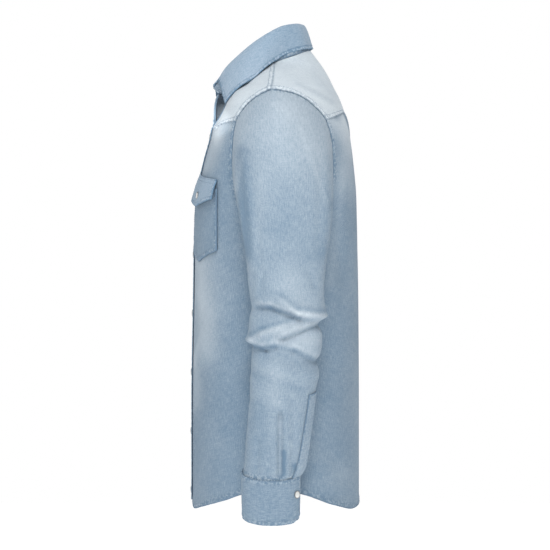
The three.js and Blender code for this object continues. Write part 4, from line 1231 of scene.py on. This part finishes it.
# %% [markdown]
# Topstitching is real geometry here: each stitch is a tiny stretched icosphere, half sunk in the
# cloth. One stitch is made once and then copied along each row, which keeps the count of faces low.
# Rows are shared out over a few objects so that none of them grows too large.

# %% Topstitching
def stitch_places(points, normals):
    """Centre, direction and normal of every stitch along one row."""
    steps = np.linalg.norm(np.diff(points, axis=0), axis=1)
    along = np.concatenate([[0.0], np.cumsum(steps)])
    count = max(int(along[-1] / STITCH["step"]), 1)
    centres = (np.arange(count) + 0.5) * along[-1] / count
    here = np.stack([np.interp(centres, along, points[:, k]) for k in range(3)], axis=1)
    ahead = np.stack([np.interp(centres + 0.8, along, points[:, k]) for k in range(3)], axis=1)
    behind = np.stack([np.interp(centres - 0.8, along, points[:, k]) for k in range(3)], axis=1)
    facing = unit(np.stack([np.interp(centres, along, normals[:, k]) for k in range(3)], axis=1))
    return here, unit(ahead - behind), facing


def sew(name, rows):
    template = bmesh.new()
    bmesh.ops.create_icosphere(template, subdivisions=1, radius=1.0)
    size = Matrix.Diagonal((STITCH["length"] / 2 * MM, STITCH["radius"] * MM, STITCH["radius"] * MM, 1.0))
    bmesh.ops.transform(template, matrix=size, verts=template.verts)
    one = bpy.data.meshes.new("one_stitch")
    template.to_mesh(one)
    template.free()
    bm = bmesh.new()
    count = 0
    for points, normals in rows:
        for here, along, facing in zip(*stitch_places(points, normals)):
            across = unit(np.cross(facing, along))
            turn = Matrix((along, across, np.cross(along, across))).transposed().to_4x4()
            stitch = one.copy()
            stitch.transform(Matrix.Translation(Vector((here + facing * 0.12) * MM)) @ turn)
            bm.from_mesh(stitch)
            bpy.data.meshes.remove(stitch)
            count += 1
    for face in bm.faces:
        face.smooth = True
    mesh = bpy.data.meshes.new(name)
    bm.to_mesh(mesh)
    bm.free()
    threads = bpy.data.objects.new(name, mesh)
    bpy.context.scene.collection.objects.link(threads)
    mesh.materials.append(thread)
    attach(threads, "root")
    print(name, "stitches:", count, "triangles:", count * 20)


share = math.ceil(len(stitch_rows) / 3)
for number in range(3):
    sew("topstitching_" + str(number + 1), stitch_rows[number * share:(number + 1) * share])


# %% [markdown]
# The light is that of a product photograph: soft and nearly even from all round, a little stronger
# from above and the front. The camera sees the world as white, while the cloth is lit by a dimmer
# one, through the Light Path node. A pale floor lies below the hem and catches no hard shadow.

# %% Light, floor and finish
world = bpy.data.worlds.new("studio")
bpy.context.scene.world = world
world.use_nodes = True
tree = world.node_tree
background = tree.nodes["Background"]
white = tree.nodes.new("ShaderNodeBackground")
white.inputs["Color"].default_value = (1.0, 1.0, 1.0, 1.0)
background.inputs["Color"].default_value = (0.97, 0.985, 1.0, 1.0)
background.inputs["Strength"].default_value = 0.36
rays = tree.nodes.new("ShaderNodeLightPath")
chosen = tree.nodes.new("ShaderNodeMixShader")
tree.links.new(rays.outputs["Is Camera Ray"], chosen.inputs[0])
tree.links.new(background.outputs[0], chosen.inputs[1])
tree.links.new(white.outputs[0], chosen.inputs[2])
tree.links.new(chosen.outputs[0], tree.nodes["World Output"].inputs["Surface"])


def area_light(name, place, target, size, watts):
    data = bpy.data.lights.new(name, "AREA")
    data.size = size
    data.energy = watts
    light = bpy.data.objects.new(name, data)
    light.location = place
    light.rotation_euler = (Vector(target) - Vector(place)).to_track_quat("-Z", "Y").to_euler()
    bpy.context.scene.collection.objects.link(light)


area_light("key", (1.9, 0.2, 1.5), (0.15, 0.0, -0.3), 0.9, 36.0)
area_light("side", (3.0, -0.2, 0.0), (0.15, 0.0, -0.4), 1.0, 15.0)
area_light("front", (0.9, -1.9, 1.3), (0.0, 0.0, -0.2), 0.6, 9.0)
area_light("far", (-1.8, 0.4, 1.6), (0.0, 0.0, -0.3), 1.4, 24.0)

bounce_data = bpy.data.lights.new("bounce", "SPOT")
bounce_data.energy = 800.0
bounce_data.spot_size = math.radians(1.1)
bounce_data.spot_blend = 1.0
bounce = bpy.data.objects.new("bounce", bounce_data)
bounce.location = (3.6, -0.1, -0.28)
into_the_neck = Vector((-0.05, -0.096, -0.086)) - bounce.location
bounce.rotation_euler = into_the_neck.to_track_quat("-Z", "Y").to_euler()
bpy.context.scene.collection.objects.link(bounce)

bm = bmesh.new()
bmesh.ops.create_grid(bm, x_segments=1, y_segments=1, size=6.0)
bmesh.ops.translate(bm, vec=(0.0, 0.0, -1.25), verts=bm.verts)
floor_mesh = bpy.data.meshes.new("floor")
bm.to_mesh(floor_mesh)
bm.free()
floor = bpy.data.objects.new("floor", floor_mesh)
bpy.context.scene.collection.objects.link(floor)
floor_look = Graph("pale_floor", 0.9, Base_Color=srgb(240, 240, 240), Emission_Color=srgb(255, 255, 255),
                   Emission_Strength=0.75)
floor_mesh.materials.append(floor_look.material)

bpy.context.scene.view_settings.view_transform = "Standard"
